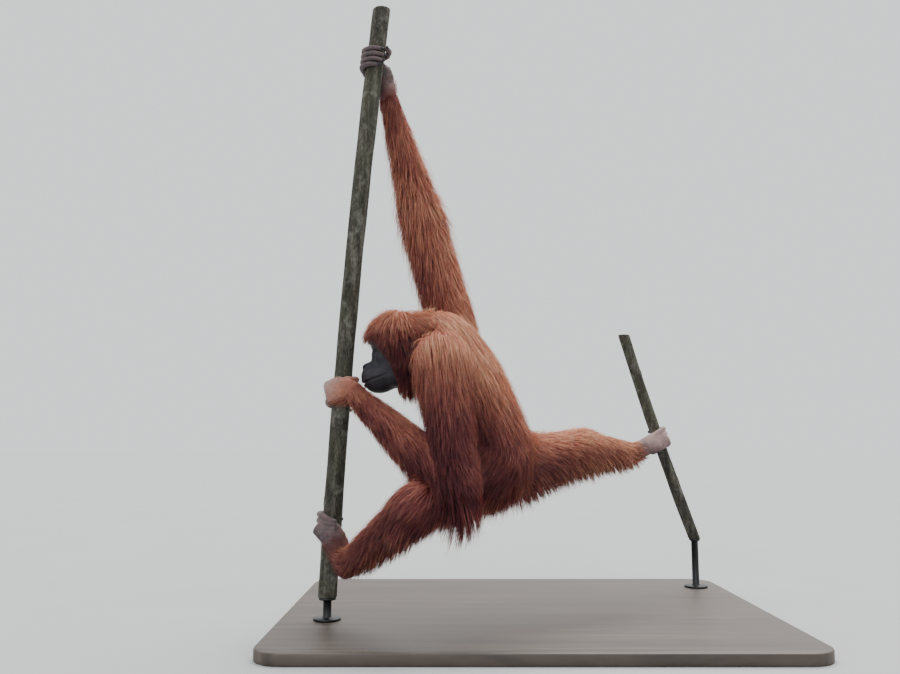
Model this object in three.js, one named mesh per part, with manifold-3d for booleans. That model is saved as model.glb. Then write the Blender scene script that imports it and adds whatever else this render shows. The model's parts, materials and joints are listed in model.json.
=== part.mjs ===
// An orangutan spread between a sapling and a hanging vine, as a still, life-size museum model.
// Millimetres, +Z up. The head looks along -X, the animal's left side faces -Y, and the origin
// is the middle of the underside of the display base.
import * as THREE from "three";
import { mergeVertices } from "three/addons/utils/BufferGeometryUtils.js";
import Module from "manifold-3d";

const wasm = await Module();
wasm.setup();

const V = (x, y, z) => new THREE.Vector3(x, y, z);
const UP = V(0, 0, 1);
const DOWN = V(0, 0, -1);
const rad = THREE.MathUtils.degToRad;
const lerp = THREE.MathUtils.lerp;

// Room that neighbouring pieces keep between their faces.
const GAP = 0.3;

// The pose: where each joint of the skeleton is.
const NECK_BASE = V(-190, -124, 652);
const SHOULDERS = V(-168, -126, 604);
const CHEST = V(-142, -128, 542);
const BELLY = V(-108, -124, 446);
const PELVIS = V(-80, -120, 374);
const RUMP = V(-80, -120, 324);
const ARM_LEFT = [V(-196, -226, 592), V(-161, -315, 321), V(-381, -160, 510)];
const ARM_RIGHT = [V(-166, -44, 668), V(-246, 0, 964), V(-327, -70, 1239)];
const LEG_LEFT = [V(-88, -190, 345), V(-247, -335, 281), V(-384, -175, 160)];
const LEG_RIGHT = [V(-34, -60, 364), V(159, 125, 400), V(318, 270, 387)];
const FACING_BACK = rad(20); // how far the chest is turned away from the -Y side
const CHEST_FRONT = V(-Math.cos(FACING_BACK), Math.sin(FACING_BACK), 0);

// The head: middle of the brain case, and how it is turned from looking along -X.
const HEAD = V(-296, -137, 630);
const HEAD_TURN = rad(6);
const HEAD_BOW = rad(12);

// The two stems that it holds, as cut lengths: x and y of the middle line at a height.
const SAPLING = {
  radius: 22,
  bottom: 72,
  top: 1430,
  middle: (z) => V(-441 + 0.042 * (z - 66) + 2.45e-5 * (z - 66) ** 2, -130 + 0.0161 * (z - 66), z),
};
const VINE = {
  radius: 17,
  bottom: 150,
  top: 700,
  middle: (z) => V(391 - 0.31 * (z - 411) + 7e-5 * (z - 411) ** 2, 300 + 0.05 * (z - 411), z),
};

// The display stand.
const BASE = { length: 1090, width: 850, thick: 24, corner: 60, bevel: 3 };
const ROD = { radius: 9, flange: 30, plate: 5, fillet: 3, shoulder: 3, sides: 10 };

// Fingers and toes: half widths at root and tip, and how far apart the four long ones lie.
const DIGIT_ROOT = 7.4;
const DIGIT_TIP = 5.4;
const DIGIT_STEP = 13.2;
const DIGIT_SHARES = [0.9, 1, 0.97, 0.86]; // their lengths, as shares of the longest
const THUMB_ROOT = 8.6;
const THUMB_TIP = 6.2;
const PALM_THICK = 12;
const PALM_WIDE = 27;
const PALM_WIDTHS = [0.72, 0.86, 1, 0.96]; // from the wrist to the knuckles
const PALM_DEPTHS = [1.5, 1.32, 1.1, 0.86];

// Coat: every lock is a three-edged blade, sunk this far into what it grows from.
const LOCK_SINK = 8;
const LOCK_STATIONS = [0, 0.42, 0.76];
const LOCK_WIDTHS = [0.8, 1, 0.62];
const LOCK_THICKS = [1, 0.8, 0.5];
const COAT_THICK = 9;
const COAT_LIFT = 0.05;
const COAT_DROOP = 0.06;
const COAT_RISE = 0.1;

// Repeatable random numbers from -1 to 1.
let seed = 20417;
function shake() {
  seed = (seed * 1664525 + 1013904223) % 4294967296;
  return (seed / 2147483648) - 1;
}

// A closed surface through rings of equal length, with a point that closes each end.
function shell(rings, startPole, endPole) {
  const n = rings[0].length;
  const points = [...rings.flat(), startPole, endPole];
  const first = points.length - 2;
  const last = points.length - 1;
  const faces = [];
  for (let j = 0; j < n; j++) {
    const k = (j + 1) % n;
    faces.push(first, k, j);
    for (let i = 0; i + 1 < rings.length; i++) {
      const low = i * n;
      const high = low + n;
      faces.push(low + j, low + k, high + k, low + j, high + k, high + j);
    }
    faces.push(last, first - n + j, first - n + k);
  }
  return new THREE.BufferGeometry().setFromPoints(points).setIndex(faces);
}

// A closed three.js geometry as a solid for joining and cutting.
function solid(geometry) {
  const bare = geometry.clone();
  bare.deleteAttribute("normal");
  bare.deleteAttribute("uv");
  const merged = mergeVertices(bare, 1e-3);
  return new wasm.Manifold(
    new wasm.Mesh({
      numProp: 3,
      vertProperties: merged.attributes.position.array,
      triVerts: new Uint32Array(merged.index.array),
    }),
  );
}

// A solid back as a three.js geometry.
function geometryOf(made) {
  const mesh = made.getMesh();
  return new THREE.BufferGeometry()
    .setAttribute("position", new THREE.BufferAttribute(mesh.vertProperties, 3))
    .setIndex(new THREE.BufferAttribute(mesh.triVerts, 1));
}

const joined = (solids) => wasm.Manifold.union(solids);

// The largest closed surface of a solid, filled where it holds a sealed hollow.
function largest(made) {
  const pieces = made.decompose();
  return pieces.reduce((best, piece) => (piece.volume() > best.volume() ? piece : best));
}

// Flesh is a row of ellipses along a smooth line. A station is [middle, half width, half depth],
// and thin is the direction in which the half depth is measured.
class Flesh {
  constructor(stations, thin, { sides = 8, rings = 5, dome = 0.7, caps = [45] } = {}) {
    this.line = new THREE.CatmullRomCurve3(stations.map(([at]) => at));
    this.sizes = new THREE.CatmullRomCurve3(stations.map(([, wide, deep]) => V(wide, deep, 0)));
    this.thin = thin;
    this.sides = sides;
    this.rings = rings;
    this.dome = dome;
    this.caps = caps.map(rad);
  }

  frame(t) {
    const along = this.line.getTangent(t);
    const deep = this.thin.clone().addScaledVector(along, -this.thin.dot(along)).normalize();
    const wide = deep.clone().cross(along);
    return { at: this.line.getPoint(t), size: this.sizes.getPoint(t), along, deep, wide };
  }

  // Point and outward direction at share t of the length and at an angle from the wide side.
  surface(t, angle, grow = 0) {
    const { at, size, along, deep, wide } = this.frame(t);
    const c = Math.cos(angle);
    const s = Math.sin(angle);
    const point = at
      .clone()
      .addScaledVector(wide, c * (size.x + grow))
      .addScaledVector(deep, s * (size.y + grow));
    const out = wide.clone().multiplyScalar(c / size.x).addScaledVector(deep, s / size.y).normalize();
    return { point, out, along };
  }

  ring(t, grow, shrink = 1, shift = 0) {
    const { at, size, along, deep, wide } = this.frame(t);
    return Array.from({ length: this.sides }, (_, j) => {
      const angle = (2 * Math.PI * j) / this.sides;
      return at
        .clone()
        .addScaledVector(along, shift)
        .addScaledVector(wide, Math.cos(angle) * (size.x + grow) * shrink)
        .addScaledVector(deep, Math.sin(angle) * (size.y + grow) * shrink);
    });
  }

  // The closed surface, a little fatter by grow, with a dome on each end.
  mesh(grow = 0) {
    const reach = (t) => (Math.min(this.frame(t).size.x, this.frame(t).size.y) + grow) * this.dome;
    const start = this.caps.map((a) => this.ring(0, grow, Math.cos(a), -reach(0) * Math.sin(a)));
    const end = this.caps.map((a) => this.ring(1, grow, Math.cos(a), reach(1) * Math.sin(a))).reverse();
    const body = Array.from({ length: this.rings }, (_, i) => this.ring(i / (this.rings - 1), grow));
    const pole = (t, sign) => {
      const out = this.line.getTangent(t).multiplyScalar(sign * reach(t));
      return this.line.getPoint(t).add(out);
    };
    return shell([...start, ...body, ...end], pole(0, -1), pole(1, 1));
  }

  // True where a point is inside, or nearer than room to it.
  holds(point, room = 0) {
    const steps = 12;
    for (let i = 0; i <= steps; i++) {
      const { at, size, deep, wide } = this.frame(i / steps);
      const from = point.clone().sub(at);
      const across = from.dot(wide) / (size.x + room);
      const down = from.dot(deep) / (size.y + room);
      const off = from.addScaledVector(wide, -from.dot(wide)).addScaledVector(deep, -from.dot(deep));
      const step = this.line.getLength() / steps;
      if (across ** 2 + down ** 2 < 1 && off.length() < step + room) return true;
    }
    return false;
  }
}

// One lock: it leaves the skin at root, bends along its way and droops to a point.
function lockMesh({ root, out, way, length, width, thick, droop, rise }, grow = 0) {
  const path = (t) =>
    root
      .clone()
      .addScaledVector(out, -LOCK_SINK * (1 - t) + rise * length * t * (1.4 - t))
      .addScaledVector(way, length * t)
      .addScaledVector(DOWN, droop * length * t * t);
  const side = out.clone().cross(path(1).sub(path(0))).normalize();
  const rings = LOCK_STATIONS.map((t, i) => {
    const at = path(t);
    const along = path(t + 0.01).sub(at);
    const ridge = along.cross(side).normalize();
    const half = (width / 2) * LOCK_WIDTHS[i];
    const high = thick * LOCK_THICKS[i];
    const edge = Math.atan2(high, half);
    const reach = half + grow / Math.tan(edge / 2);
    const under = at.clone().addScaledVector(ridge, -grow);
    return [
      under.clone().addScaledVector(side, reach),
      at.clone().addScaledVector(ridge, high + grow / Math.cos(edge)),
      under.clone().addScaledVector(side, -reach),
    ];
  });
  const tip = path(1).addScaledVector(path(1).sub(path(0.9)).normalize(), 8 * grow);
  return shell(rings, path(0), tip);
}

// Rows of locks on flesh. lie is 1 where the coat runs towards the end of the flesh and -1 where
// it runs back, and hang is the pull of gravity beside it. What grows on the underside hangs off
// it as a fringe, longer by fringe, or shorter where fringe is negative. clear tells where a lock
// would stand clear of other flesh.
function coat(flesh, look) {
  const { rows, around, from = 0, to = 1, lie, hang, length, fringe, width } = look;
  const { lift = COAT_LIFT, clear = () => true } = look;
  const locks = [];
  for (let i = 0; i < rows; i++) {
    for (let j = 0; j < around; j++) {
      const t = THREE.MathUtils.clamp(lerp(from, to, (i + 0.5 + 0.22 * shake()) / rows), 0, 1);
      const angle = (2 * Math.PI * (j + 0.5 * (i % 2) + 0.16 * shake())) / around;
      const { point, out, along } = flesh.surface(t, angle);
      const under = Math.max(0, out.dot(DOWN)) ** 1.5;
      const way = along.clone().multiplyScalar(lie).addScaledVector(DOWN, hang).normalize();
      way.addScaledVector(out, lift - Math.min(way.dot(out), 0.5 * under)).normalize();
      const long = (length + fringe * under) * (1 + 0.16 * shake());
      const droop = COAT_DROOP * (1 + 3 * under);
      const lock = { root: point, out, way, length: long, width, thick: COAT_THICK, droop, rise: COAT_RISE };
      if (clear(point) && clear(point.clone().addScaledVector(way, 0.6 * long))) locks.push(lock);
    }
  }
  return locks;
}

// The torso, from the rump to the root of the neck, with the close under coat.
const torso = new Flesh(
  [
    [RUMP, 84, 68],
    [PELVIS, 100, 84],
    [BELLY, 108, 90],
    [CHEST, 108, 85],
    [SHOULDERS, 98, 74],
    [NECK_BASE, 66, 56],
  ],
  CHEST_FRONT,
  { sides: 14, rings: 8, dome: 0.62, caps: [62, 34] },
);

// A limb's two lengths, shaped by half widths from its root to its end. Muscle is fullest at a share
// of each length, and the limb is a little flatter than it is wide, most of all at its end.
const FULLEST = { upper: 0.45, lower: 0.32, thins: 0.7 };
const FLATNESS = { root: 0.94, fullest: 0.96, thins: 0.94, end: 0.86 };
function limb([root, middle, end], half, thin) {
  const part = (a, b, share) => a.clone().lerp(b, share);
  const thinned = lerp(half.calf, half.end, 0.62);
  const upper = new Flesh(
    [
      [root, half.root, half.root * FLATNESS.root],
      [part(root, middle, FULLEST.upper), half.near, half.near * FLATNESS.fullest],
      [middle, half.middle, half.middle],
    ],
    thin,
  );
  const lower = new Flesh(
    [
      [middle, half.middle, half.middle],
      [part(middle, end, FULLEST.lower), half.calf, half.calf * FLATNESS.fullest],
      [part(middle, end, FULLEST.thins), thinned, thinned * FLATNESS.thins],
      [end, half.end, half.end * FLATNESS.end],
    ],
    thin,
  );
  return { upper, lower };
}

const armLeft = limb(ARM_LEFT, { root: 56, near: 46, middle: 41, calf: 37, end: 23 }, UP);
const armRight = limb(ARM_RIGHT, { root: 56, near: 45, middle: 38, calf: 32, end: 21 }, V(0, 1, 0));
const legLeft = limb(LEG_LEFT, { root: 64, near: 48, middle: 36, calf: 32, end: 23 }, UP);
const legRight = limb(LEG_RIGHT, { root: 60, near: 46, middle: 36, calf: 32, end: 23 }, UP);

// The head's own axes: forwards, up and to its right.
const headForward = V(-Math.cos(HEAD_TURN), -Math.sin(HEAD_TURN), 0)
  .multiplyScalar(Math.cos(HEAD_BOW))
  .addScaledVector(DOWN, Math.sin(HEAD_BOW));
const headRight = headForward.clone().cross(UP).normalize();
const headUp = headRight.clone().cross(headForward);
const onHead = (f, u, r) =>
  HEAD.clone().addScaledVector(headForward, f).addScaledVector(headUp, u).addScaledVector(headRight, r);

// The rounded masses of the head, as [forwards, up, aside] middles and half sizes; those that are
// aside are there twice.
const HEAD_MASSES = [
  { at: [-6, 12, 0], half: [68, 66, 61] }, // brain case and the close coat on it
  { at: [49, 15, 17], half: [12, 8, 20] }, // brow ridge
  { at: [54, -72, 0], half: [38, 36, 34] }, // muzzle
  { at: [46, -84, 0], half: [34, 27, 31] }, // lower jaw and chin
  { at: [14, -62, 24], half: [40, 44, 26] }, // jaw angle and cheek
  { at: [30, -30, 22], half: [26, 26, 22] }, // cheek bone
  { at: [56, -28, 0], half: [8, 20, 8] }, // bridge of the nose
  { at: [70, -44, 0], half: [12, 7, 13] }, // nose
];
const HEAD_BLEND = 9;
const EYE = { at: [44, -5, 21], radius: 11 };
const SOCKET = { at: [64, -6, 21], half: [14, 9, 13] };
const NOSTRIL = { at: [80, -46, 6.5], half: [9, 2.6, 4.2] };
// A lid: how far round the eye it goes, how far over its middle it stands there and less at the
// corners, and how thick it is.
const LID = { span: rad(62), high: 5.6, falls: 3.4, off: 1.2, half: [3.2, 2.6], thins: [1.2, 0.8] };
// The mouth goes round the front of the muzzle about an upright line, and its corners turn up.
const MOUTH = { heart: 40, span: rad(74), corners: 7, thins: 0.35, height: -79.5, upper: -73, lower: -86 };

const ballField = (p, at, half, side) => {
  const d = V((p.x - at[0]) / half[0], (p.y - at[1]) / half[1], (p.z - side * at[2]) / half[2]);
  return (d.length() - 1) * Math.min(...half);
};

// Distance-like field of the head: negative inside, blended where the masses meet.
function headField(p) {
  const q = V(p.x, p.y, Math.abs(p.z));
  let sum = 0;
  for (const { at, half } of HEAD_MASSES) sum += Math.exp(-ballField(q, at, half, 1) / HEAD_BLEND);
  const body = -HEAD_BLEND * Math.log(sum) + HEAD_BLEND * 0.35;
  const socket = ballField(q, SOCKET.at, SOCKET.half, 1);
  return Math.max(body, -socket);
}

// The head's skin: a sphere whose points slide out along their rays to where the field is zero.
const HEAD_HEART = V(16, -30, 0);
function headPoint(direction) {
  let inside = 0;
  let outside = 190;
  for (let i = 0; i < 26; i++) {
    const middle = (inside + outside) / 2;
    const p = HEAD_HEART.clone().addScaledVector(direction, middle);
    if (headField(p) < 0) inside = middle;
    else outside = middle;
  }
  return HEAD_HEART.clone().addScaledVector(direction, inside);
}

function headMesh(grow = 0) {
  const ball = new THREE.SphereGeometry(1, 24, 18);
  const position = ball.attributes.position;
  const ray = V(0, 0, 0);
  for (let i = 0; i < position.count; i++) {
    ray.fromBufferAttribute(position, i).normalize();
    const p = headPoint(ray).addScaledVector(ray, grow);
    const at = onHead(p.x, p.y, p.z);
    position.setXYZ(i, at.x, at.y, at.z);
  }
  return ball;
}

// A ball with its own half sizes, placed and turned on the head.
function headBall([f, u, r], [hf, hu, hr], segments = 12) {
  const ball = new THREE.SphereGeometry(1, segments, Math.round(segments * 0.7));
  const basis = new THREE.Matrix4().makeBasis(
    headForward.clone().multiplyScalar(hf),
    headUp.clone().multiplyScalar(hu),
    headRight.clone().multiplyScalar(hr),
  );
  return ball.applyMatrix4(basis.setPosition(onHead(f, u, r)));
}

// A lid is a fold that follows the eyeball, from corner to corner, over or under it.
function lid(side, over) {
  const [f, u, r] = EYE.at;
  const points = [-1, -0.5, 0, 0.5, 1].map((s) => {
    const a = s * LID.span;
    const drop = over * (LID.high - LID.falls * s * s);
    const bulge = Math.sqrt((EYE.radius + LID.off) ** 2 - drop ** 2);
    const at = onHead(f + bulge * Math.cos(a), u + drop, side * r + bulge * Math.sin(a));
    const [wide, deep] = LID.half.map((half, i) => half - LID.thins[i] * Math.abs(s));
    return [at, wide, deep];
  });
  return new Flesh(points, headUp, { sides: 4, rings: 5, dome: 0.6 });
}

// A line round the front of the muzzle at a height, from one corner to the other.
function lipLine(height, sink, wide, deep) {
  const points = [-1, -0.6, -0.2, 0.2, 0.6, 1].map((s) => {
    const a = s * MOUTH.span;
    const ray = V(Math.cos(a), 0, Math.sin(a));
    const heart = V(MOUTH.heart, height + MOUTH.corners * s * s, 0);
    let r = 0;
    while (headField(heart.clone().addScaledVector(ray, r)) < 0) r += 0.5;
    const p = heart.addScaledVector(ray, r - sink);
    const slim = 1 - MOUTH.thins * Math.abs(s);
    return [onHead(p.x, p.y, p.z), wide * slim, deep * slim];
  });
  return new Flesh(points, headUp, { sides: 4, rings: 8, dome: 0.6 });
}

// The head with its lids and lips, a little fatter by grow.
function headMass(grow = 0) {
  const folds = [
    ...[-1, 1].flatMap((side) => [lid(side, 1), lid(side, -1)]),
    lipLine(MOUTH.upper, 1.5, 4, 4.5),
    lipLine(MOUTH.lower, 2, 4, 4),
  ];
  return joined([solid(headMesh(grow)), ...folds.map((fold) => solid(fold.mesh(grow)))]);
}

// The head with the line of its mouth, its nostrils and the room for its eyes cut out.
function makeHead() {
  const [f, u, r] = NOSTRIL.at;
  const cut = [
    solid(lipLine(MOUTH.height, -1, 6, 1.6).mesh()),
    ...[-1, 1].map((side) => solid(headBall([f, u, side * r], NOSTRIL.half, 8))),
    ...[-1, 1].map((side) => eyeSolid(side, GAP)),
  ];
  return largest(headMass().subtract(joined(cut)));
}

function eyeSolid(side, grow = 0) {
  const r = EYE.radius + grow;
  return solid(headBall([EYE.at[0], EYE.at[1], side * EYE.at[2]], [r, r, r], 8));
}

// An ear: a small flat shell with a rim, hollowed into a cup that opens forwards.
const EAR = { at: [-16, -22, 61], half: [13, 19, 7] };
const EAR_CUP = { at: [-13, -21, 67.5], half: [8.5, 13, 6] };
const EAR_CANAL = { at: [-11, -25, 62], half: [3.5, 4, 4] };
function earSolid(side, grow = 0) {
  const ball = ({ at: [f, u, r], half }, segments) => {
    const grown = half.map((h) => h + grow);
    return solid(headBall([f, u, side * r], grown, segments));
  };
  if (grow > 0) return ball(EAR, 9);
  return ball(EAR, 9).subtract(ball(EAR_CUP, 7)).subtract(ball(EAR_CANAL, 5));
}

// Locks of the head, on its rays. The coat leaves the face bare, falls forwards on the forehead
// and hangs from the cheeks and throat.
const FACE = { behind: 26, above: 26, beside: 44 };
const EAR_ROOM = { round: 19, beside: 35 };
const inFace = (p) => p.x > FACE.behind && p.y < FACE.above && Math.abs(p.z) < FACE.beside;
const nearEar = (p) =>
  Math.hypot(p.x - EAR.at[0], p.y - EAR.at[1]) < EAR_ROOM.round && Math.abs(p.z) > EAR_ROOM.beside;
const HEAD_LOCK = { length: 50, longer: 20, width: 44, thick: 10, rows: 5, around: 9 };
function headLocks() {
  const locks = [];
  for (let i = 0; i < HEAD_LOCK.rows; i++) {
    const tilt = Math.PI * lerp(0.05, 0.86, (i + 0.5) / HEAD_LOCK.rows);
    const around = Math.max(4, Math.round(HEAD_LOCK.around * Math.sin(tilt)));
    for (let j = 0; j < around; j++) {
      const turn = (2 * Math.PI * (j + 0.5 * (i % 2) + 0.15 * shake())) / around;
      const ray = V(Math.sin(tilt) * Math.cos(turn), Math.cos(tilt), Math.sin(tilt) * Math.sin(turn));
      const p = headPoint(ray);
      if (inFace(p) || nearEar(p)) continue;
      const out = onHead(ray.x, ray.y, ray.z).sub(HEAD).normalize();
      const forwards = p.x > 0 && p.y > 30 ? 1.2 : -0.3;
      const way = headUp.clone().multiplyScalar(-1).addScaledVector(headForward, forwards);
      way.addScaledVector(out, -way.dot(out)).normalize().addScaledVector(out, COAT_LIFT).normalize();
      const low = THREE.MathUtils.clamp(-p.y / 60, 0, 1);
      const length = HEAD_LOCK.length + HEAD_LOCK.longer * low + 4 * shake();
      const { width, thick } = HEAD_LOCK;
      const root = onHead(p.x, p.y, p.z);
      locks.push({ root, out, way, length, width, thick, droop: COAT_DROOP, rise: COAT_RISE });
    }
  }
  return locks;
}

// Winding round a stem: the point at an angle about its middle line, at a height above it.
function besideStem(stem, z, angle, off) {
  const middle = stem.middle(z);
  const axis = stem.middle(z + 1).sub(stem.middle(z - 1)).normalize();
  const east = V(1, 0, 0).addScaledVector(axis, -axis.x).normalize();
  const north = axis.clone().cross(east);
  return middle
    .addScaledVector(east, Math.cos(angle) * (stem.radius + off))
    .addScaledVector(north, Math.sin(angle) * (stem.radius + off));
}

// Fingers or toes that leave the palm side by side and wind round the stem from one angle to
// another, in degrees. pitch is how far they climb on the way.
function digits(stem, z, from, to, pitch) {
  return DIGIT_SHARES.map((share, k) => {
    const level = z + (1.5 - k) * DIGIT_STEP;
    const steps = 5;
    const stations = Array.from({ length: steps }, (_, i) => {
      const s = (i / (steps - 1)) * share;
      const r = lerp(DIGIT_ROOT, DIGIT_TIP, i / (steps - 1));
      const angle = rad(lerp(from, to, s));
      return [besideStem(stem, level + pitch * s, angle, r + 2 * GAP), r, r];
    });
    return new Flesh(stations, UP, { sides: 6, rings: 5, dome: 0.9 });
  });
}

// A thumb or great toe: short and thick, winding the other way.
function thumb(stem, z, from, to, pitch) {
  const stations = [0, 0.34, 0.68, 1].map((s) => {
    const r = lerp(THUMB_ROOT, THUMB_TIP, s);
    return [besideStem(stem, z + pitch * s, rad(lerp(from, to, s)), r + 2 * GAP), r, r];
  });
  return new Flesh(stations, UP, { sides: 6, rings: 5, dome: 0.9 });
}

// A hand or foot: a flat mass from the wrist or heel to the knuckles, which lies on the stem.
function palm(points, thin) {
  const stations = points.map((at, i) => [at, PALM_WIDE * PALM_WIDTHS[i], PALM_THICK * PALM_DEPTHS[i]]);
  return new Flesh(stations, thin);
}

// How high each hand and foot holds its stem.
const GRIP_HIGH = 1296;
const GRIP_MIDDLE = 512;
const GRIP_LOW = 226;
const GRIP_VINE = 414;
const PALM_OFF = PALM_THICK * 0.9;

const handRight = palm(
  [
    ARM_RIGHT[2],
    V(-332, -70, 1262),
    besideStem(SAPLING, GRIP_HIGH - 8, rad(72), PALM_OFF + 3),
    besideStem(SAPLING, GRIP_HIGH, rad(128), PALM_OFF),
  ],
  V(0, 1, 0),
);
const handLeft = palm(
  [
    ARM_LEFT[2],
    besideStem(SAPLING, GRIP_MIDDLE + 8, rad(-62), PALM_OFF + 10),
    besideStem(SAPLING, GRIP_MIDDLE + 8, rad(-98), PALM_OFF + 4),
    besideStem(SAPLING, GRIP_MIDDLE, rad(-138), PALM_OFF),
  ],
  V(0, -1, 0),
);
const footLeft = palm(
  [
    V(-392, -172, 134),
    besideStem(SAPLING, 168, rad(-48), PALM_OFF + 8),
    besideStem(SAPLING, 202, rad(-76), PALM_OFF + 2),
    besideStem(SAPLING, GRIP_LOW, rad(-122), PALM_OFF),
  ],
  V(0.3, -1, 0),
);
const footRight = palm(
  [
    V(322, 262, 374),
    V(346, 262, 392),
    besideStem(VINE, 408, rad(-112), PALM_OFF + 4),
    besideStem(VINE, GRIP_VINE, rad(-66), PALM_OFF),
  ],
  V(0, -1, 0.2),
);

const digitSets = {
  finger_right: digits(SAPLING, GRIP_HIGH, 128, 318, 6),
  finger_left: digits(SAPLING, GRIP_MIDDLE, -140, -330, -16),
  toe_left: digits(SAPLING, GRIP_LOW, -124, -300, 4),
  toe_right: digits(VINE, GRIP_VINE, -64, 130, 3),
};
const thumbs = {
  thumb_right: thumb(SAPLING, GRIP_HIGH + 26, 92, -30, 6),
  thumb_left: thumb(SAPLING, GRIP_MIDDLE + 30, -66, 60, 8),
  great_toe_left: thumb(SAPLING, GRIP_LOW - 36, -52, 88, 4),
  great_toe_right: thumb(VINE, GRIP_VINE - 26, -122, -262, -4),
};

// The neck, from inside the torso to inside the head.
const neck = new Flesh(
  [
    [V(-186, -124, 634), 54, 50],
    [V(-232, -130, 640), 54, 52],
    [V(-272, -134, 628), 52, 50],
  ],
  UP,
  { sides: 10, rings: 5, dome: 0.5 },
);

// A cut length of stem, with flat ends and a girth that is uneven round it and along it.
const UNEVEN = { around: 0.025, along: 0.02 };
function stemMesh(stem, grow = 0) {
  const rings = 7;
  const sides = 10;
  const ring = (z) => {
    const middle = stem.middle(z);
    return Array.from({ length: sides }, (_, j) => {
      const angle = (2 * Math.PI * j) / sides;
      const round = UNEVEN.around * Math.sin(3 * angle + z / 90);
      const uneven = 1 + round + UNEVEN.along * Math.sin(z / 47);
      const r = (stem.radius - 1) * uneven + grow;
      return middle.clone().add(V(Math.cos(angle) * r, Math.sin(angle) * r, 0));
    });
  };
  const heights = Array.from({ length: rings }, (_, i) => lerp(stem.bottom, stem.top, i / (rings - 1)));
  return shell(heights.map(ring), stem.middle(stem.bottom), stem.middle(stem.top));
}

// A plain steel rod on a round foot, with a plate that the end of a stem stands on.
function rodMesh(stem) {
  const foot = BASE.thick + GAP;
  const head = stem.bottom - GAP;
  const profile = [
    [0, foot],
    [ROD.flange, foot],
    [ROD.flange, foot + ROD.plate],
    [ROD.radius, foot + ROD.plate + ROD.fillet],
    [ROD.radius, head - ROD.plate - ROD.fillet],
    [stem.radius - ROD.shoulder, head - ROD.plate],
    [stem.radius - ROD.shoulder, head],
    [0, head],
  ].map(([r, z]) => new THREE.Vector2(r, z));
  const rod = new THREE.LatheGeometry(profile, ROD.sides).rotateX(Math.PI / 2);
  const at = stem.middle(stem.bottom);
  return rod.translate(at.x, at.y, 0);
}

// The base board, with rounded corners and a bevelled edge.
function baseMesh() {
  const x = BASE.length / 2 - BASE.bevel;
  const y = BASE.width / 2 - BASE.bevel;
  const r = BASE.corner;
  const outline = new THREE.Shape()
    .moveTo(-x + r, -y)
    .lineTo(x - r, -y)
    .absarc(x - r, -y + r, r, -Math.PI / 2, 0)
    .lineTo(x, y - r)
    .absarc(x - r, y - r, r, 0, Math.PI / 2)
    .lineTo(-x + r, y)
    .absarc(-x + r, y - r, r, Math.PI / 2, Math.PI)
    .lineTo(-x, -y + r)
    .absarc(-x + r, -y + r, r, Math.PI, 1.5 * Math.PI);
  const plate = new THREE.ExtrudeGeometry(outline, {
    depth: BASE.thick - 2 * BASE.bevel,
    bevelThickness: BASE.bevel,
    bevelSize: BASE.bevel,
    bevelSegments: 1,
    curveSegments: 3,
  });
  return plate.translate(0, 0, BASE.bevel);
}

// Where two lengths of a limb meet: a plane square to the bend, that each is cut back from.
function cutAt(made, [before, joint, after], keep, room) {
  const normal = after.clone().sub(joint).normalize().add(joint.clone().sub(before).normalize()).normalize();
  const side = normal.multiplyScalar(keep);
  return made.trimByPlane([side.x, side.y, side.z], side.dot(joint) + room);
}

// Coats, by node. The order is the order of right of way: a lock gives way to those before it.
const outside = (fleshes, room) => (p) => !fleshes.some((flesh) => flesh.holds(p, room));
const coats = {
  upper_arm_left: coat(armLeft.upper, {
    rows: 3, around: 5, from: 0.02, to: 0.9,
    lie: 1, hang: 0.3, length: 98, fringe: 0, width: 54,
    clear: outside([torso], -6),
  }),
  forearm_left: coat(armLeft.lower, {
    rows: 3, around: 4, from: 0.1, to: 0.96,
    lie: -0.9, hang: 0.35, length: 88, fringe: 8, width: 50,
    clear: outside([torso, armLeft.upper, legLeft.upper], -6),
  }),
  thigh_left: coat(legLeft.upper, {
    rows: 3, around: 4, from: 0.3, to: 1,
    lie: 0.9, hang: 0.4, length: 70, fringe: 20, width: 60,
    clear: outside([torso, armLeft.upper, armLeft.lower], -4),
  }),
  shin_left: coat(legLeft.lower, {
    rows: 3, around: 4, from: 0.02, to: 0.84,
    lie: 1, hang: 0.45, length: 72, fringe: 10, width: 48,
    clear: outside([legLeft.upper, footLeft], -6),
  }),
  upper_arm_right: coat(armRight.upper, {
    rows: 3, around: 5, from: 0.22, to: 1,
    lie: -1, hang: 0.2, length: 108, fringe: 0, width: 50, lift: 0.16,
    clear: outside([torso, neck], 0),
  }),
  forearm_right: coat(armRight.lower, {
    rows: 3, around: 4, from: 0.16, to: 0.96,
    lie: -1, hang: 0.2, length: 100, fringe: 0, width: 46, lift: 0.1,
  }),
  thigh_right: coat(legRight.upper, {
    rows: 3, around: 4, from: 0.3, to: 1,
    lie: 0.8, hang: 0.5, length: 68, fringe: 20, width: 60,
    clear: outside([torso], -4),
  }),
  shin_right: coat(legRight.lower, {
    rows: 3, around: 4, from: 0.02, to: 0.88,
    lie: 1, hang: 0.5, length: 68, fringe: 14, width: 48,
    clear: outside([legRight.upper], -6),
  }),
  head: headLocks(),
  torso: coat(torso, {
    rows: 5, around: 7, from: 0, to: 0.98,
    lie: -1, hang: 0.3, length: 104, fringe: -30, width: 86,
    clear: outside([armLeft.upper, armRight.upper, legLeft.upper, legRight.upper, neck], -4),
  }),
};

// Every piece in its order of right of way: each is cut clear of the ones placed before it, which
// a slightly fatter copy stands for, so that a gap is left between their faces.
const cores = new Map();
const fats = new Map();
function place(name, core, fat) {
  cores.set(name, fats.size > 0 ? largest(core.subtract(joined([...fats.values()]))) : core);
  fats.set(name, fat);
}
const placeFlesh = (name, flesh, trim = (made) => made) =>
  place(name, trim(solid(flesh.mesh()), GAP / 2), trim(solid(flesh.mesh(GAP)), -GAP / 4));

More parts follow.
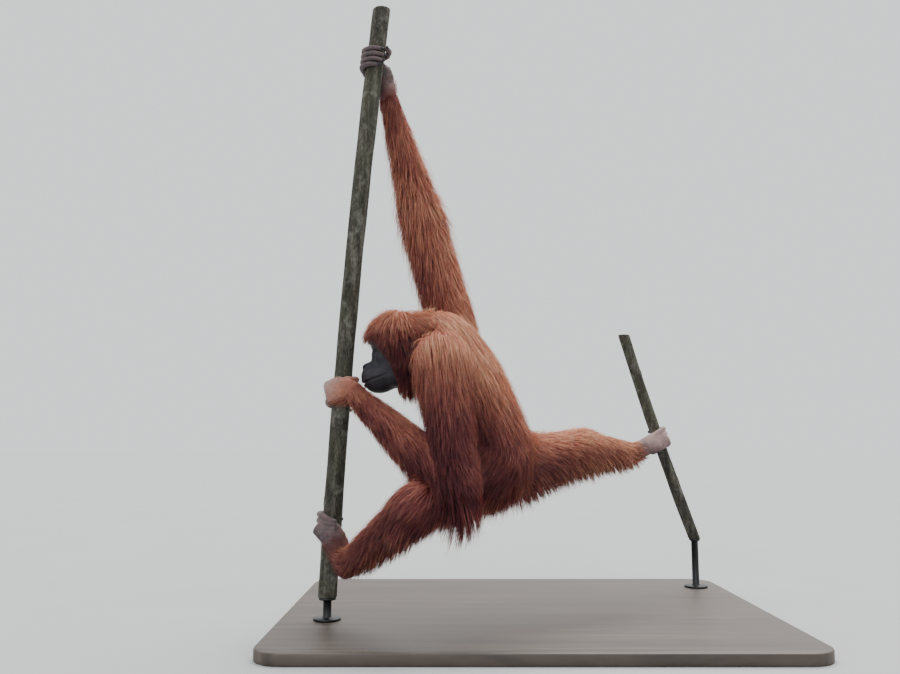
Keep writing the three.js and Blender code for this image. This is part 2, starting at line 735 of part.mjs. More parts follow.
for (const [name, stem] of Object.entries({ perch_sapling: SAPLING, perch_vine: VINE })) {
  place(name, solid(stemMesh(stem)), solid(stemMesh(stem, GAP)));
}
for (const [name, side] of Object.entries({ left: -1, right: 1 })) {
  place(`eye_${name}`, eyeSolid(side), eyeSolid(side, GAP));
}
place("head", makeHead(), headMass(GAP));
for (const [name, side] of Object.entries({ left: -1, right: 1 })) {
  place(`ear_${name}`, earSolid(side), earSolid(side, GAP));
}
placeFlesh("torso", torso);
placeFlesh("neck", neck);
const limbs = [
  ["upper_arm_left", "forearm_left", armLeft, ARM_LEFT],
  ["upper_arm_right", "forearm_right", armRight, ARM_RIGHT],
  ["thigh_left", "shin_left", legLeft, LEG_LEFT],
  ["thigh_right", "shin_right", legRight, LEG_RIGHT],
];
for (const [upperName, lowerName, { upper, lower }, joints] of limbs) {
  placeFlesh(upperName, upper, (made, room) => cutAt(made, joints, -1, room));
  placeFlesh(lowerName, lower, (made, room) => cutAt(made, joints, 1, room));
}
placeFlesh("hand_right", handRight);
placeFlesh("hand_left", handLeft);
placeFlesh("foot_left", footLeft);
placeFlesh("foot_right", footRight);
for (const [set, fleshes] of Object.entries(digitSets)) {
  fleshes.forEach((flesh, k) => placeFlesh(`${set}_${k + 1}`, flesh));
}
for (const [name, flesh] of Object.entries(thumbs)) placeFlesh(name, flesh);

// Each coated node takes in its locks, cut clear of all other flesh and of the locks before it.
const laid = [];
for (const [name, locks] of Object.entries(coats)) {
  const others = [...fats].filter(([other]) => other !== name).map(([, fat]) => fat);
  const tufts = joined(locks.map((one) => solid(lockMesh(one)))).subtract(joined([...others, ...laid]));
  cores.set(name, largest(cores.get(name).add(tufts)));
  laid.push(joined(locks.map((one) => solid(lockMesh(one, GAP)))));
}

cores.set("stand_base", solid(baseMesh()));
cores.set("stand_rod_sapling", solid(rodMesh(SAPLING)));
cores.set("stand_rod_vine", solid(rodMesh(VINE)));

// Colours by node.
const coatMaterial = new THREE.MeshStandardMaterial({ color: 0x9c4a2a, roughness: 0.9 });
const skinMaterial = new THREE.MeshStandardMaterial({ color: 0x5b4a46, roughness: 0.7 });
const eyeMaterial = new THREE.MeshStandardMaterial({ color: 0x2a160c, roughness: 0.15 });
const barkMaterial = new THREE.MeshStandardMaterial({ color: 0x5e5a3e, roughness: 0.9 });
const standMaterial = new THREE.MeshStandardMaterial({ color: 0x2e2e30, roughness: 0.5, metalness: 0.6 });
const baseMaterial = new THREE.MeshStandardMaterial({ color: 0x3a3836, roughness: 0.6 });
function materialFor(name) {
  if (name === "stand_base") return baseMaterial;
  if (name.startsWith("stand_")) return standMaterial;
  if (name.startsWith("perch_")) return barkMaterial;
  if (name.startsWith("eye_")) return eyeMaterial;
  if (name in coats || name === "neck") return coatMaterial;
  return skinMaterial;
}

const orangutan = new THREE.Group();
for (const [name, made] of cores) {
  const mesh = new THREE.Mesh(geometryOf(made), materialFor(name));
  mesh.name = name;
  orangutan.add(mesh);
}

export default orangutan;
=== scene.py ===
# %% [markdown]
# # A young orangutan between a sapling and a vine
# The model is a museum mount: an ape that hangs spread between two stems, on a plain stand. Its solids
# are already settled, in one frame in metres, and this lesson dresses them: one skin, a coat of hair,
# eyes, ears and nails, bark on the stems, and a finish for the stand.

# %% The solids as a frame
import json
import math

import bpy
import numpy as np
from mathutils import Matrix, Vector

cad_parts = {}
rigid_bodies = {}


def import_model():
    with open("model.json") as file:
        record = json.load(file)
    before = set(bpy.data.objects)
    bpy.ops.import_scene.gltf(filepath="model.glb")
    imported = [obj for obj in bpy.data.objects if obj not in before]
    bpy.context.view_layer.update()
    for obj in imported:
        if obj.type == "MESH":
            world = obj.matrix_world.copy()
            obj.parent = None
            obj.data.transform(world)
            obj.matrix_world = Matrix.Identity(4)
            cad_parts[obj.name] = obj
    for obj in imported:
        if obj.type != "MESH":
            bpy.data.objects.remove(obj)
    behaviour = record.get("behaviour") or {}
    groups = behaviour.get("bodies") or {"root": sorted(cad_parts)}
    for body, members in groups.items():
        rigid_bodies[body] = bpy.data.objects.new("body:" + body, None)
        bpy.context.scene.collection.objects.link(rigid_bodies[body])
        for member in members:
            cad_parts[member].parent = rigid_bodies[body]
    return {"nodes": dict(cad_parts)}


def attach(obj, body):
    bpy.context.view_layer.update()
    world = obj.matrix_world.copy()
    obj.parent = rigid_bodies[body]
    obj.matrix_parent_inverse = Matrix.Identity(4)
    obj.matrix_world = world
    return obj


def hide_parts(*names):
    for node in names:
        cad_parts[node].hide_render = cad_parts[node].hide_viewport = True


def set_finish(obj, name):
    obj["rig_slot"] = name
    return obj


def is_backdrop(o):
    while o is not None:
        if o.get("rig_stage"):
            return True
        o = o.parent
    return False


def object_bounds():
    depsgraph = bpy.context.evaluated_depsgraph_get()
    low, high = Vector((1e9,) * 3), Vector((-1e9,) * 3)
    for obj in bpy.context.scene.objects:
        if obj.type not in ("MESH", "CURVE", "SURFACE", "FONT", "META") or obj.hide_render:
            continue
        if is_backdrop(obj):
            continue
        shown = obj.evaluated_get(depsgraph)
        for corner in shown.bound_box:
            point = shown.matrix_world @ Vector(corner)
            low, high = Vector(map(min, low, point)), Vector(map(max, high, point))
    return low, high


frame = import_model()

MM = 0.001
FULL_TURN = 2 * math.pi
solid_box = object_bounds()
chance = np.random.default_rng(1905)
print("solids:", [round(side, 3) for side in solid_box[1] - solid_box[0]])


def place(*millimetres):
    """A place or a size given in millimetres, in metres."""
    return np.array(millimetres, float) * MM


def unit(vectors):
    """Each vector divided by its own length."""
    length = np.linalg.norm(vectors, axis=-1, keepdims=True)
    return vectors / np.maximum(length, 1e-12)


def smooth_line(knots, count):
    """A row of points through the knots. Between two knots the point is a cubic whose slope at each of
    them is half the step from the knot before to the knot after."""
    knots = np.asarray(knots, float)
    padded = np.vstack([2 * knots[0] - knots[1], knots, 2 * knots[-1] - knots[-2]])
    along = np.linspace(0, len(knots) - 1, count)
    first = np.minimum(along.astype(int), len(knots) - 2)
    t = (along - first)[:, None]
    a, b, c, d = (padded[first + k] for k in range(4))
    return 0.5 * (2 * b + (c - a) * t + (2 * a - 5 * b + 4 * c - d) * t**2 + (3 * b - a - 3 * c + d) * t**3)


def soft_least(a, b, blend):
    """The lesser of two distances, rounded off by up to a quarter of blend where they are alike."""
    share = np.clip(0.5 + 0.5 * (b - a) / blend, 0, 1)
    return b + (a - b) * share - blend * share * (1 - share)


# %% [markdown]
# ## Mesh and UV helpers
# Every shape is worked out as whole arrays of points, faces and, for the hair, values that the finish
# reads. Blender takes such arrays at once with `foreach_set`, which is far quicker than one call for
# each point, so one helper does that for all pieces.


# %% A piece from arrays
def new_piece(name, points, faces, slot, stands_for=(), values=None, uv=None):
    """A smooth-shaded mesh object of equal-sided faces that rides on the model's one body."""
    mesh = bpy.data.meshes.new(name)
    faces = np.asarray(faces, np.int32)
    sides = faces.shape[1]
    mesh.vertices.add(len(points))
    mesh.vertices.foreach_set("co", np.asarray(points, np.float32).ravel())
    mesh.loops.add(faces.size)
    mesh.loops.foreach_set("vertex_index", faces.ravel())
    mesh.polygons.add(len(faces))
    mesh.polygons.foreach_set("loop_start", np.arange(0, faces.size, sides, dtype=np.int32))
    mesh.polygons.foreach_set("use_smooth", np.ones(len(faces), bool))
    for label, numbers in (values or {}).items():
        layer = mesh.attributes.new(label, "FLOAT", "POINT")
        layer.data.foreach_set("value", np.asarray(numbers, np.float32))
    if uv is not None:
        layer = mesh.uv_layers.new(name="OFBake")
        layer.data.foreach_set("uv", np.asarray(uv, np.float32)[faces.ravel()].ravel())
    mesh.update(calc_edges=True)
    mesh.validate()
    piece = bpy.data.objects.new(name, mesh)
    bpy.context.scene.collection.objects.link(piece)
    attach(piece, "root")
    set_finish(piece, slot)
    if stands_for:
        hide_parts(*stands_for)
    print(f"{name}: {len(points)} points, {len(faces) * (sides - 2)} triangles")
    return piece


def tube_faces(rows, around):
    """Quads between neighbouring rows of a closed tube, as four point numbers each."""
    row, column = np.meshgrid(np.arange(rows - 1), np.arange(around), indexing="ij")
    beside = (column + 1) % around
    corners = (row * around + column, row * around + beside, (row + 1) * around + beside)
    return np.stack([*corners, (row + 1) * around + column], axis=-1).reshape(-1, 4)


# %% [markdown]
# ## The pose
# The animal's left side faces -Y and its head looks along -X. Each length of flesh is a row of ellipses
# along a smooth line. The coat stands on the skin, so the skin is thinner than the solids by the
# depth of their close under coat.


# %% A length of flesh
FLESH_MARGIN = 30 * MM


class Flesh:
    """Ellipses along a smooth line. A knot is (place, half width, half depth), all in millimetres, and
    the half depth is measured along thin. lie is 1 where the coat runs along the line and -1 where it
    runs against it."""

    def __init__(self, name, knots, thin, pieces=9, blend=22, lie=1.0):
        table = smooth_line([[*at, wide, deep] for at, wide, deep in knots], pieces + 1) * MM
        self.name = name
        self.at = table[:, :3]
        self.wide = table[:, 3]
        self.deep = table[:, 4]
        self.blend = blend * MM
        self.lie = lie
        self.step = self.at[1:] - self.at[:-1]
        self.along = unit(np.gradient(self.at, axis=0))
        self.side = unit(np.cross(thin, self.along))
        self.thin = np.cross(self.along, self.side)
        reach = table[:, 3:].max() + self.blend + FLESH_MARGIN
        self.low = self.at.min(0) - reach
        self.high = self.at.max(0) + reach

    def away(self, p, want_way=False):
        """Distance outside the flesh: for each piece of the line, the offset from its nearest point
        counted in the ellipse's own half sizes, less one, times its smaller half size; then the
        least over the pieces."""
        least = np.full(len(p), np.inf)
        way = np.zeros((len(p), 3))
        for i, step in enumerate(self.step):
            offset = p - self.at[i]
            t = np.clip(offset @ step / (step @ step), 0, 1)
            offset = offset - t[:, None] * step
            wide = self.wide[i] + t * (self.wide[i + 1] - self.wide[i])
            deep = self.deep[i] + t * (self.deep[i + 1] - self.deep[i])
            sideways = offset @ self.side[i]
            square = (offset * offset).sum(1) - sideways**2
            size = np.sqrt((sideways / wide) ** 2 + square / deep**2)
            distance = (size - 1) * np.minimum(wide, deep)
            closer = distance < least
            least = np.where(closer, distance, least)
            if want_way:
                way[closer] = unit(step) * self.lie
        return (least, way) if want_way else least

    def chart(self, p):
        """For each place, its share of the line's length and its angle round the nearest piece."""
        nearest = np.full(len(p), np.inf)
        share = np.zeros(len(p))
        turn = np.zeros(len(p))
        for i, step in enumerate(self.step):
            offset = p - self.at[i]
            t = np.clip(offset @ step / (step @ step), 0, 1)
            offset = offset - t[:, None] * step
            distance = (offset * offset).sum(1)
            closer = distance < nearest
            nearest[closer] = distance[closer]
            share[closer] = (i + t[closer]) / len(self.step)
            angle = np.arctan2(offset @ self.thin[i], offset @ self.side[i])
            turn[closer] = angle[closer] / FULL_TURN % 1
        return np.column_stack([turn, share])


# %% Torso, neck and limbs
UPWARD = np.array([0.0, 0.0, 1.0])
INWARD = np.array([0.0, 1.0, 0.0])
BACK_TURN = math.radians(20)
ROUNDNESS = 0.94
CHEST_FRONT = np.array([-math.cos(BACK_TURN), math.sin(BACK_TURN), 0])
ARM_LEFT = [(-196, -222, 592), (-161, -315, 321), (-381, -160, 510)]
ARM_RIGHT = [(-166, -48, 664), (-246, 0, 964), (-327, -70, 1239)]
LEG_LEFT = [(-92, -180, 350), (-247, -335, 281), (-384, -175, 160)]
LEG_RIGHT = [(-40, -66, 366), (159, 125, 398), (318, 270, 382)]


def limb(name, joints, sizes, thin, lies):
    """The two lengths of a limb, through its three joints. sizes are the half widths at the root, on
    the upper length's belly, at the middle joint, on the lower length's belly and at the end."""
    root, middle, end = (np.array(joint, float) for joint in joints)
    top, belly, bend, calf, last = sizes
    taper = 0.4 * calf + 0.6 * last
    upper = [
        (root, top, top * ROUNDNESS),
        (root + 0.45 * (middle - root), belly, belly * ROUNDNESS),
        (middle, bend, bend),
    ]
    lower = [
        (middle, bend, bend),
        (middle + 0.3 * (end - middle), calf, calf * ROUNDNESS),
        (middle + 0.7 * (end - middle), taper, taper * ROUNDNESS),
        (end, last, last * 0.86),
    ]
    names = {"arm": ("upper_arm", "forearm"), "leg": ("thigh", "shin")}
    kind, side = name.split("_")
    return [
        Flesh(f"{part}_{side}", knots, thin, lie=lie)
        for part, knots, lie in zip(names[kind], (upper, lower), lies)
    ]


torso = Flesh(
    "torso",
    [
        ((-84, -120, 344), 70, 55),
        ((-80, -120, 382), 86, 71),
        ((-108, -124, 446), 94, 77),
        ((-142, -128, 542), 94, 72),
        ((-168, -126, 604), 84, 61),
        ((-190, -124, 646), 56, 48),
    ],
    CHEST_FRONT,
    pieces=14,
    lie=-1,
)
neck = Flesh(
    "neck",
    [((-184, -124, 636), 44, 42), ((-232, -130, 640), 42, 42), ((-276, -134, 626), 40, 42)],
    UPWARD,
    pieces=5,
    lie=-1,
)
limbs = [
    *limb("arm_left", ARM_LEFT, (46, 36, 31, 29, 20), UPWARD, (1, -1)),
    *limb("arm_right", ARM_RIGHT, (46, 35, 29, 26, 18), INWARD, (-1, -1)),
    *limb("leg_left", LEG_LEFT, (54, 38, 30, 27, 20), UPWARD, (1, 1)),
    *limb("leg_right", LEG_RIGHT, (52, 38, 30, 26, 18), UPWARD, (1, 1)),
]
print("lengths of flesh:", [flesh.name for flesh in [torso, neck, *limbs]])

# %% [markdown]
# ## The two stems
# Both stems are gently bent, so each is given as a middle line over height, and the hands are laid on
# them by an angle and a height, as one would say where a hand holds a pole.


# %% Stems and places beside them
class Stem:
    """A stem whose middle line is a parabola over height, in millimetres."""

    def __init__(self, radius, bottom, top, middle):
        self.radius = radius
        self.bottom = bottom
        self.top = top
        self.middle = middle

    def beside(self, height, degrees, off):
        """The point at an angle round the stem, off its surface: the middle line's point plus the
        radius and off along the angle's direction square to the line."""
        centre = np.array(self.middle(height))
        axis = unit(np.array(self.middle(height + 1)) - np.array(self.middle(height - 1)))
        east = unit(np.array([1.0, 0, 0]) - axis[0] * axis)
        north = np.cross(axis, east)
        angle = math.radians(degrees)
        return centre + (self.radius + off) * (math.cos(angle) * east + math.sin(angle) * north)

    def away(self, p):
        """Distance outside the stem in metres, measured level."""
        x, y, _ = self.middle(p[:, 2] / MM)
        return np.hypot(p[:, 0] - x * MM, p[:, 1] - y * MM) - self.radius * MM


def sapling_middle(z):
    """The sapling leans to the right and a little away, more so towards its top."""
    rise = z - 66
    return -441 + 0.042 * rise + 2.45e-5 * rise**2, -130 + 0.0161 * rise, z


def vine_middle(z):
    """The vine slants down to the right from where the foot holds it."""
    rise = z - 411
    return 391 - 0.31 * rise + 7e-5 * rise**2, 300 + 0.05 * rise, z


sapling = Stem(22, 72, 1430, sapling_middle)
vine = Stem(17, 150, 700, vine_middle)

# %% [markdown]
# ## Hands and feet
# An orangutan's hands and feet are long hooks: a narrow palm, four long digits side by side and a short
# thumb or great toe that closes from the other side. Each digit is a length of flesh that winds round
# its stem, with a swelling at each knuckle.

# %% Digits round a stem
KNUCKLES = (0.0, 0.42, 0.74)
KNUCKLE_SPREAD = 0.1
DIGIT_LENGTHS = (0.9, 1.0, 0.97, 0.86)
DIGIT_STEP = 13.2
DIGIT_OFF = 0.4
DIGIT_SIZES = (7.4, 5.2)
THUMB_SIZES = (8.6, 6.2)
RAY = 0.28
RAY_RISE = 11.5
RAY_THINNING = 1.2
RAY_NEARING = 1.5


def winding(name, stem, height, start, stop, climb, sizes=THUMB_SIZES, share=1.0, ray=0.0, beside=0.0):
    """A digit: its angle goes evenly from start towards stop, its height climbs with it, and its radius
    falls from the first of the sizes to the second with a tenth more at each knuckle. Its ray goes back
    from the start over the palm, rises onto it and draws near to the other digits' rays."""
    root, tip = sizes
    knots = []
    for s in np.linspace(-ray, share, 13):
        back = min(s, 0)
        swell = sum(math.exp(-(((s / share - knuckle) / KNUCKLE_SPREAD) ** 2)) for knuckle in KNUCKLES)
        radius = (root + (tip - root) * max(s, 0) / share) * (0.9 + 0.13 * swell) * (1 + RAY_THINNING * back)
        rise = RAY_RISE * np.clip(-s / 0.3 + 0.25, 0, 1.25) if ray else 0
        level = height + climb * s + beside * (1 + RAY_NEARING * back)
        at = stem.beside(level, start + (stop - start) * s, radius + DIGIT_OFF + rise)
        knots.append((at, radius, radius))
    return Flesh(name, knots, UPWARD, pieces=16, blend=2.4)


def grip(name, stem, height, start, stop, climb):
    """Four digits side by side."""
    row = []
    for k, share in enumerate(DIGIT_LENGTHS):
        digit = f"{name}_{k + 1}"
        beside = (1.5 - k) * DIGIT_STEP
        row.append(winding(digit, stem, height, start, stop, climb, DIGIT_SIZES, share, RAY, beside))
    return row


def palm(name, points, thin):
    """A flat mass from the wrist or heel to the knuckles."""
    widths = (20, 23, 26.5, 25.5)
    depths = (17, 15, 12.5, 10)
    knots = [(at, wide, deep) for at, wide, deep in zip(points, widths, depths)]
    return Flesh(name, knots, thin, pieces=8, blend=12)


GRIP_HIGH, GRIP_MIDDLE, GRIP_LOW, GRIP_VINE = 1296, 512, 226, 414
PALM_OFF = 10.8
hands = {
    "hand_right": (
        palm(
            "hand_right",
            [
                ARM_RIGHT[2],
                (-332, -70, 1262),
                sapling.beside(GRIP_HIGH - 8, 72, PALM_OFF + 3),
                sapling.beside(GRIP_HIGH, 128, PALM_OFF),
            ],
            INWARD,
        ),
        grip("finger_right", sapling, GRIP_HIGH, 128, 318, 6),
        winding("thumb_right", sapling, GRIP_HIGH + 26, 92, -30, 6),
    ),
    "hand_left": (
        palm(
            "hand_left",
            [
                ARM_LEFT[2],
                sapling.beside(GRIP_MIDDLE + 8, -62, PALM_OFF + 10),
                sapling.beside(GRIP_MIDDLE + 8, -98, PALM_OFF + 4),
                sapling.beside(GRIP_MIDDLE, -138, PALM_OFF),
            ],
            -INWARD,
        ),
        grip("finger_left", sapling, GRIP_MIDDLE, -140, -330, -16),
        winding("thumb_left", sapling, GRIP_MIDDLE + 30, -66, 60, 8),
    ),
    "foot_left": (
        palm(
            "foot_left",
            [
                (-392, -172, 134),
                sapling.beside(168, -48, PALM_OFF + 8),
                sapling.beside(202, -76, PALM_OFF + 2),
                sapling.beside(GRIP_LOW, -122, PALM_OFF),
            ],
            np.array([0.3, -1.0, 0.0]),
        ),
        grip("toe_left", sapling, GRIP_LOW, -124, -300, 4),
        winding("great_toe_left", sapling, GRIP_LOW - 36, -52, 88, 4),
    ),
    "foot_right": (
        palm(
            "foot_right",
            [
                (322, 262, 374),
                (346, 262, 392),
                vine.beside(408, -112, PALM_OFF + 4),
                vine.beside(GRIP_VINE, -66, PALM_OFF),
            ],
            np.array([0.0, -1.0, 0.2]),
        ),
        grip("toe_right", vine, GRIP_VINE, -64, 130, 3),
        winding("great_toe_right", vine, GRIP_VINE - 26, -122, -262, -4),
    ),
}
print("digits:", sum(len(row) + 1 for _, row, _ in hands.values()))

# %% [markdown]
# ## The head
# The head is built in its own axes: forwards, up and to the animal's right, from the middle of the brain
# case. Rounded masses blend into each other as clay would, and grooves and folds are then pressed in. A
# sculptor would start the same way, and one formula keeps each crease where it can be named and moved.

# %% Head axes
HEAD_MIDDLE = place(-296, -137, 630)
HEAD_TURN = math.radians(6)
HEAD_BOW = math.radians(12)
head_forward = np.array([-math.cos(HEAD_TURN), -math.sin(HEAD_TURN), 0]) * math.cos(HEAD_BOW)
head_forward = head_forward - UPWARD * math.sin(HEAD_BOW)
head_right = unit(np.cross(head_forward, UPWARD))
head_up = np.cross(head_right, head_forward)
HEAD_AXES = np.stack([head_forward, head_up, head_right])


def in_head(p):
    """Places in the head's own axes, in millimetres."""
    return (p - HEAD_MIDDLE) @ HEAD_AXES.T / MM


def on_head(q):
    """Places given in the head's axes, in metres of the frame."""
    return HEAD_MIDDLE + np.asarray(q, float) * MM @ HEAD_AXES


def ball(q, centre, half):
    """Nearly the distance outside an ellipsoid: with k0 the offset over the half sizes and k1 the offset
    over their squares, it is k0 times (k0 - 1) over k1."""
    offset = q - np.array(centre, float)
    half = np.array(half, float)
    k0 = np.linalg.norm(offset / half, axis=-1)
    k1 = np.linalg.norm(offset / half**2, axis=-1)
    return k0 * (k0 - 1) / np.maximum(k1, 1e-9)


# %% Face masses and creases
EYE = np.array([44.0, -5.0, 21.0])
EYE_RADIUS = 11.0
HEAD_MASSES = [
    ((-8, 10, 0), (58, 55, 51), 1),
    ((38, 12, 0), (22, 15, 37), 12),
    ((49, 9, 16), (9, 6.5, 17), 8),
    ((30, -30, 24), (24, 22, 19), 14),
    ((48, -26, 0), (12, 20, 9), 9),
    ((53, -68, 0), (39, 33, 34), 15),
    ((49, -86, 0), (34, 22, 27), 9),
    ((14, -66, 25), (36, 33, 20), 15),
    ((-4, -76, 0), (34, 30, 34), 18),
    ((73, -43, 0), (11, 7, 13), 7),
]
EYE_RINGS = ((15.5, 0.55), (19, 0.45), (22.5, 0.35))
MOUTH_HEIGHT = -79.5
MOUTH_RISE = 0.0052


def bump(x, width):
    """A bell of height one: e to the minus square of x over width."""
    return np.exp(-((x / width) ** 2))


def face_folds(q):
    """How far creases press the skin in, in millimetres, less how far lips and pads stand out: bells
    across the mouth line, round the eyes, beside the nose and on the chin."""
    f, u, r = q[:, 0], q[:, 1], np.abs(q[:, 2])
    front = 1 / (1 + np.exp(-(f - 34) / 5))
    line = MOUTH_HEIGHT + MOUTH_RISE * q[:, 2] ** 2
    lips = 3.4 * bump(u - line, 1.5) - 1.6 * bump(u - line - 5, 3.5) - 1.8 * bump(u - line + 5.5, 3.6)
    near_mouth = front * bump(r, 36)
    upper_lip = (u > line + 3) & (u < line + 30)
    pleats = 0.28 * np.sin(r * 1.15) ** 2 * upper_lip * bump(u - line - 12, 10)
    from_eye = np.hypot((u - EYE[1]) * 1.25, r - EYE[2])
    rings = sum(depth * bump(from_eye - radius, 1.2) for radius, depth in EYE_RINGS)
    below = 1 / (1 + np.exp((u - EYE[1] + 2) / 3))
    beside_nose = 0.8 * bump(r - 17 - 0.12 * (-40 - u), 2.6) * bump(u + 44, 14)
    brow = 0.5 * np.sin(u * 0.9) ** 2 * bump(u - 20, 9) * bump(r, 30)
    chin = 0.5 * np.sin(u * 0.7 + r * 0.15) ** 2 * bump(u + 98, 10)
    return front * (lips * near_mouth + pleats + rings * below + beside_nose + brow + chin)


def head_away(p):
    """Distance outside the head: masses blended in turn, sockets and nostrils carved, the eyeballs'
    room cut out, lids laid over them, and the folds added."""
    q = in_head(p)
    q = np.column_stack([q[:, 0], q[:, 1], np.abs(q[:, 2])])
    total = ball(q, *HEAD_MASSES[0][:2])
    for centre, half, blend in HEAD_MASSES[1:]:
        total = soft_least(total, ball(q, centre, half), blend)
    total = total + face_folds(q)
    socket = ball(q, EYE + (18, -1, 0), (13, 8.5, 11.5))
    total = -soft_least(-total, socket, 6)
    turned = q - np.array([82.0, -45.0, 7.0])
    turned = turned @ np.array([[1, 0, 0], [0, 0.88, -0.47], [0, 0.47, 0.88]]).T
    nostril = ball(turned, (0, 0, 0), (13, 2.7, 4.6))
    total = -soft_least(-total, nostril, 2.5)
    from_eye = q - EYE
    round_eye = np.linalg.norm(from_eye, axis=1)
    total = np.maximum(total, -(round_eye - EYE_RADIUS - 0.5))
    open_half = 4.3 * (1 - (from_eye[:, 2] / 10.2) ** 2)
    slit = np.where(from_eye[:, 0] > 0, open_half - np.abs(from_eye[:, 1] + 0.6), -9)
    lids = np.maximum(np.abs(round_eye - EYE_RADIUS - 1.5) - 1.2, slit)
    total = soft_least(total, lids, 1.6)
    return total * MM


# %% [markdown]
# ## One skin
# Skin runs over the whole body without a seam, so it is one surface. A body where limbs grow out of
# each other has no two parameters of its own, and tubes pushed through each other leave hard creases.
# So the skin is the level surface of one function of place, the distance outside the flesh, which all
# the lengths share and blend. It is read on a grid of cells, fine at the face and hands and coarser
# under the coat, and each surface point is then slid onto the true level.

# %% The distance outside the body
FAR = 0.2
ROOT_BLEND = 26 * MM
HEAD_ROOM = 150 * MM
hand_of = {
    "arm_left": "hand_left",
    "arm_right": "hand_right",
    "leg_left": "foot_left",
    "leg_right": "foot_right",
}
chains = {name: limbs[2 * k : 2 * k + 2] for k, name in enumerate(hand_of)}
head_low = on_head([0, 0, 0]) - HEAD_ROOM
head_high = on_head([0, 0, 0]) + HEAD_ROOM


def near_box(p, low, high):
    """Which places lie in a box."""
    return np.all((p > low) & (p < high), axis=1)


def chain_away(p, parts):
    """Distance outside some lengths of flesh that blend into each other, each read only near it."""
    total = np.full(len(p), FAR)
    for flesh in parts:
        near = near_box(p, flesh.low, flesh.high)
        if near.any():
            total[near] = soft_least(total[near], flesh.away(p[near]), flesh.blend)
    return total


def trunk_away(p, head=head_away):
    """Distance outside head, neck and torso."""
    total = chain_away(p, [torso, neck])
    near = near_box(p, head_low, head_high)
    if near.any():
        total[near] = soft_least(total[near], head(p[near]), ROOT_BLEND)
    return total


def root_blend(p, root):
    """How softly a limb blends into the trunk: in full near its root joint and hardly at all farther
    out, so that a forearm that passes the chin stays clear of it."""
    return ROOT_BLEND * np.clip(1.6 - np.linalg.norm(p - root, axis=1) / 0.1, 0.04, 1)


def off_stems(p, total):
    """The distance kept outside the stems as well."""
    for stem in (sapling, vine):
        near = (p[:, 2] > (stem.bottom - 20) * MM) & (p[:, 2] < stem.top * MM)
        total[near] = np.maximum(total[near], 0.4 * MM - stem.away(p[near]))
    return total


def body_away(p, head=head_away, cut=lambda name, p, total: total):
    """Distance outside the skin down to the palms: trunk and limbs in turn. cut may take a room out
    of a limb."""
    total = trunk_away(p, head)
    for name, parts in chains.items():
        limb_total = cut(name, p, chain_away(p, [*parts, hands[hand_of[name]][0]]))
        total = soft_least(total, limb_total, root_blend(p, parts[0].at[0]))
    return off_stems(p, total)


def slope(field, p, reach=0.5 * MM):
    """The field's direction of growth: the differences across a small reach along each axis."""
    steps = np.eye(3) * reach
    return np.column_stack([field(p + step) - field(p - step) for step in steps]) / (2 * reach)


# %% Reading a field on a grid
BLOCK = 8


def grid_values(field, low, step, blocks):
    """The field at the points of a grid, in blocks of eight by eight by eight: every block takes the
    value at its middle, and only blocks that the surface may reach are worked out point by point."""
    ticks = [low[k] + step * (BLOCK * np.arange(blocks[k]) + (BLOCK - 1) / 2) for k in range(3)]
    middles = np.stack(np.meshgrid(*ticks, indexing="ij"), axis=-1).reshape(-1, 3)
    coarse = field(middles).reshape(blocks)
    values = np.broadcast_to(coarse[..., None, None, None], (*blocks, BLOCK, BLOCK, BLOCK)).copy()
    near = np.abs(coarse) < step * BLOCK * 1.3
    offsets = np.stack(np.meshgrid(*[np.arange(BLOCK)] * 3, indexing="ij"), axis=-1).reshape(-1, 3)
    corners = np.argwhere(near) * BLOCK
    places = low + step * (corners[:, None, :] + offsets[None]).reshape(-1, 3)
    values[near] = field(places).reshape(-1, BLOCK, BLOCK, BLOCK)
    return values.transpose(0, 3, 1, 4, 2, 5).reshape([n * BLOCK for n in blocks])


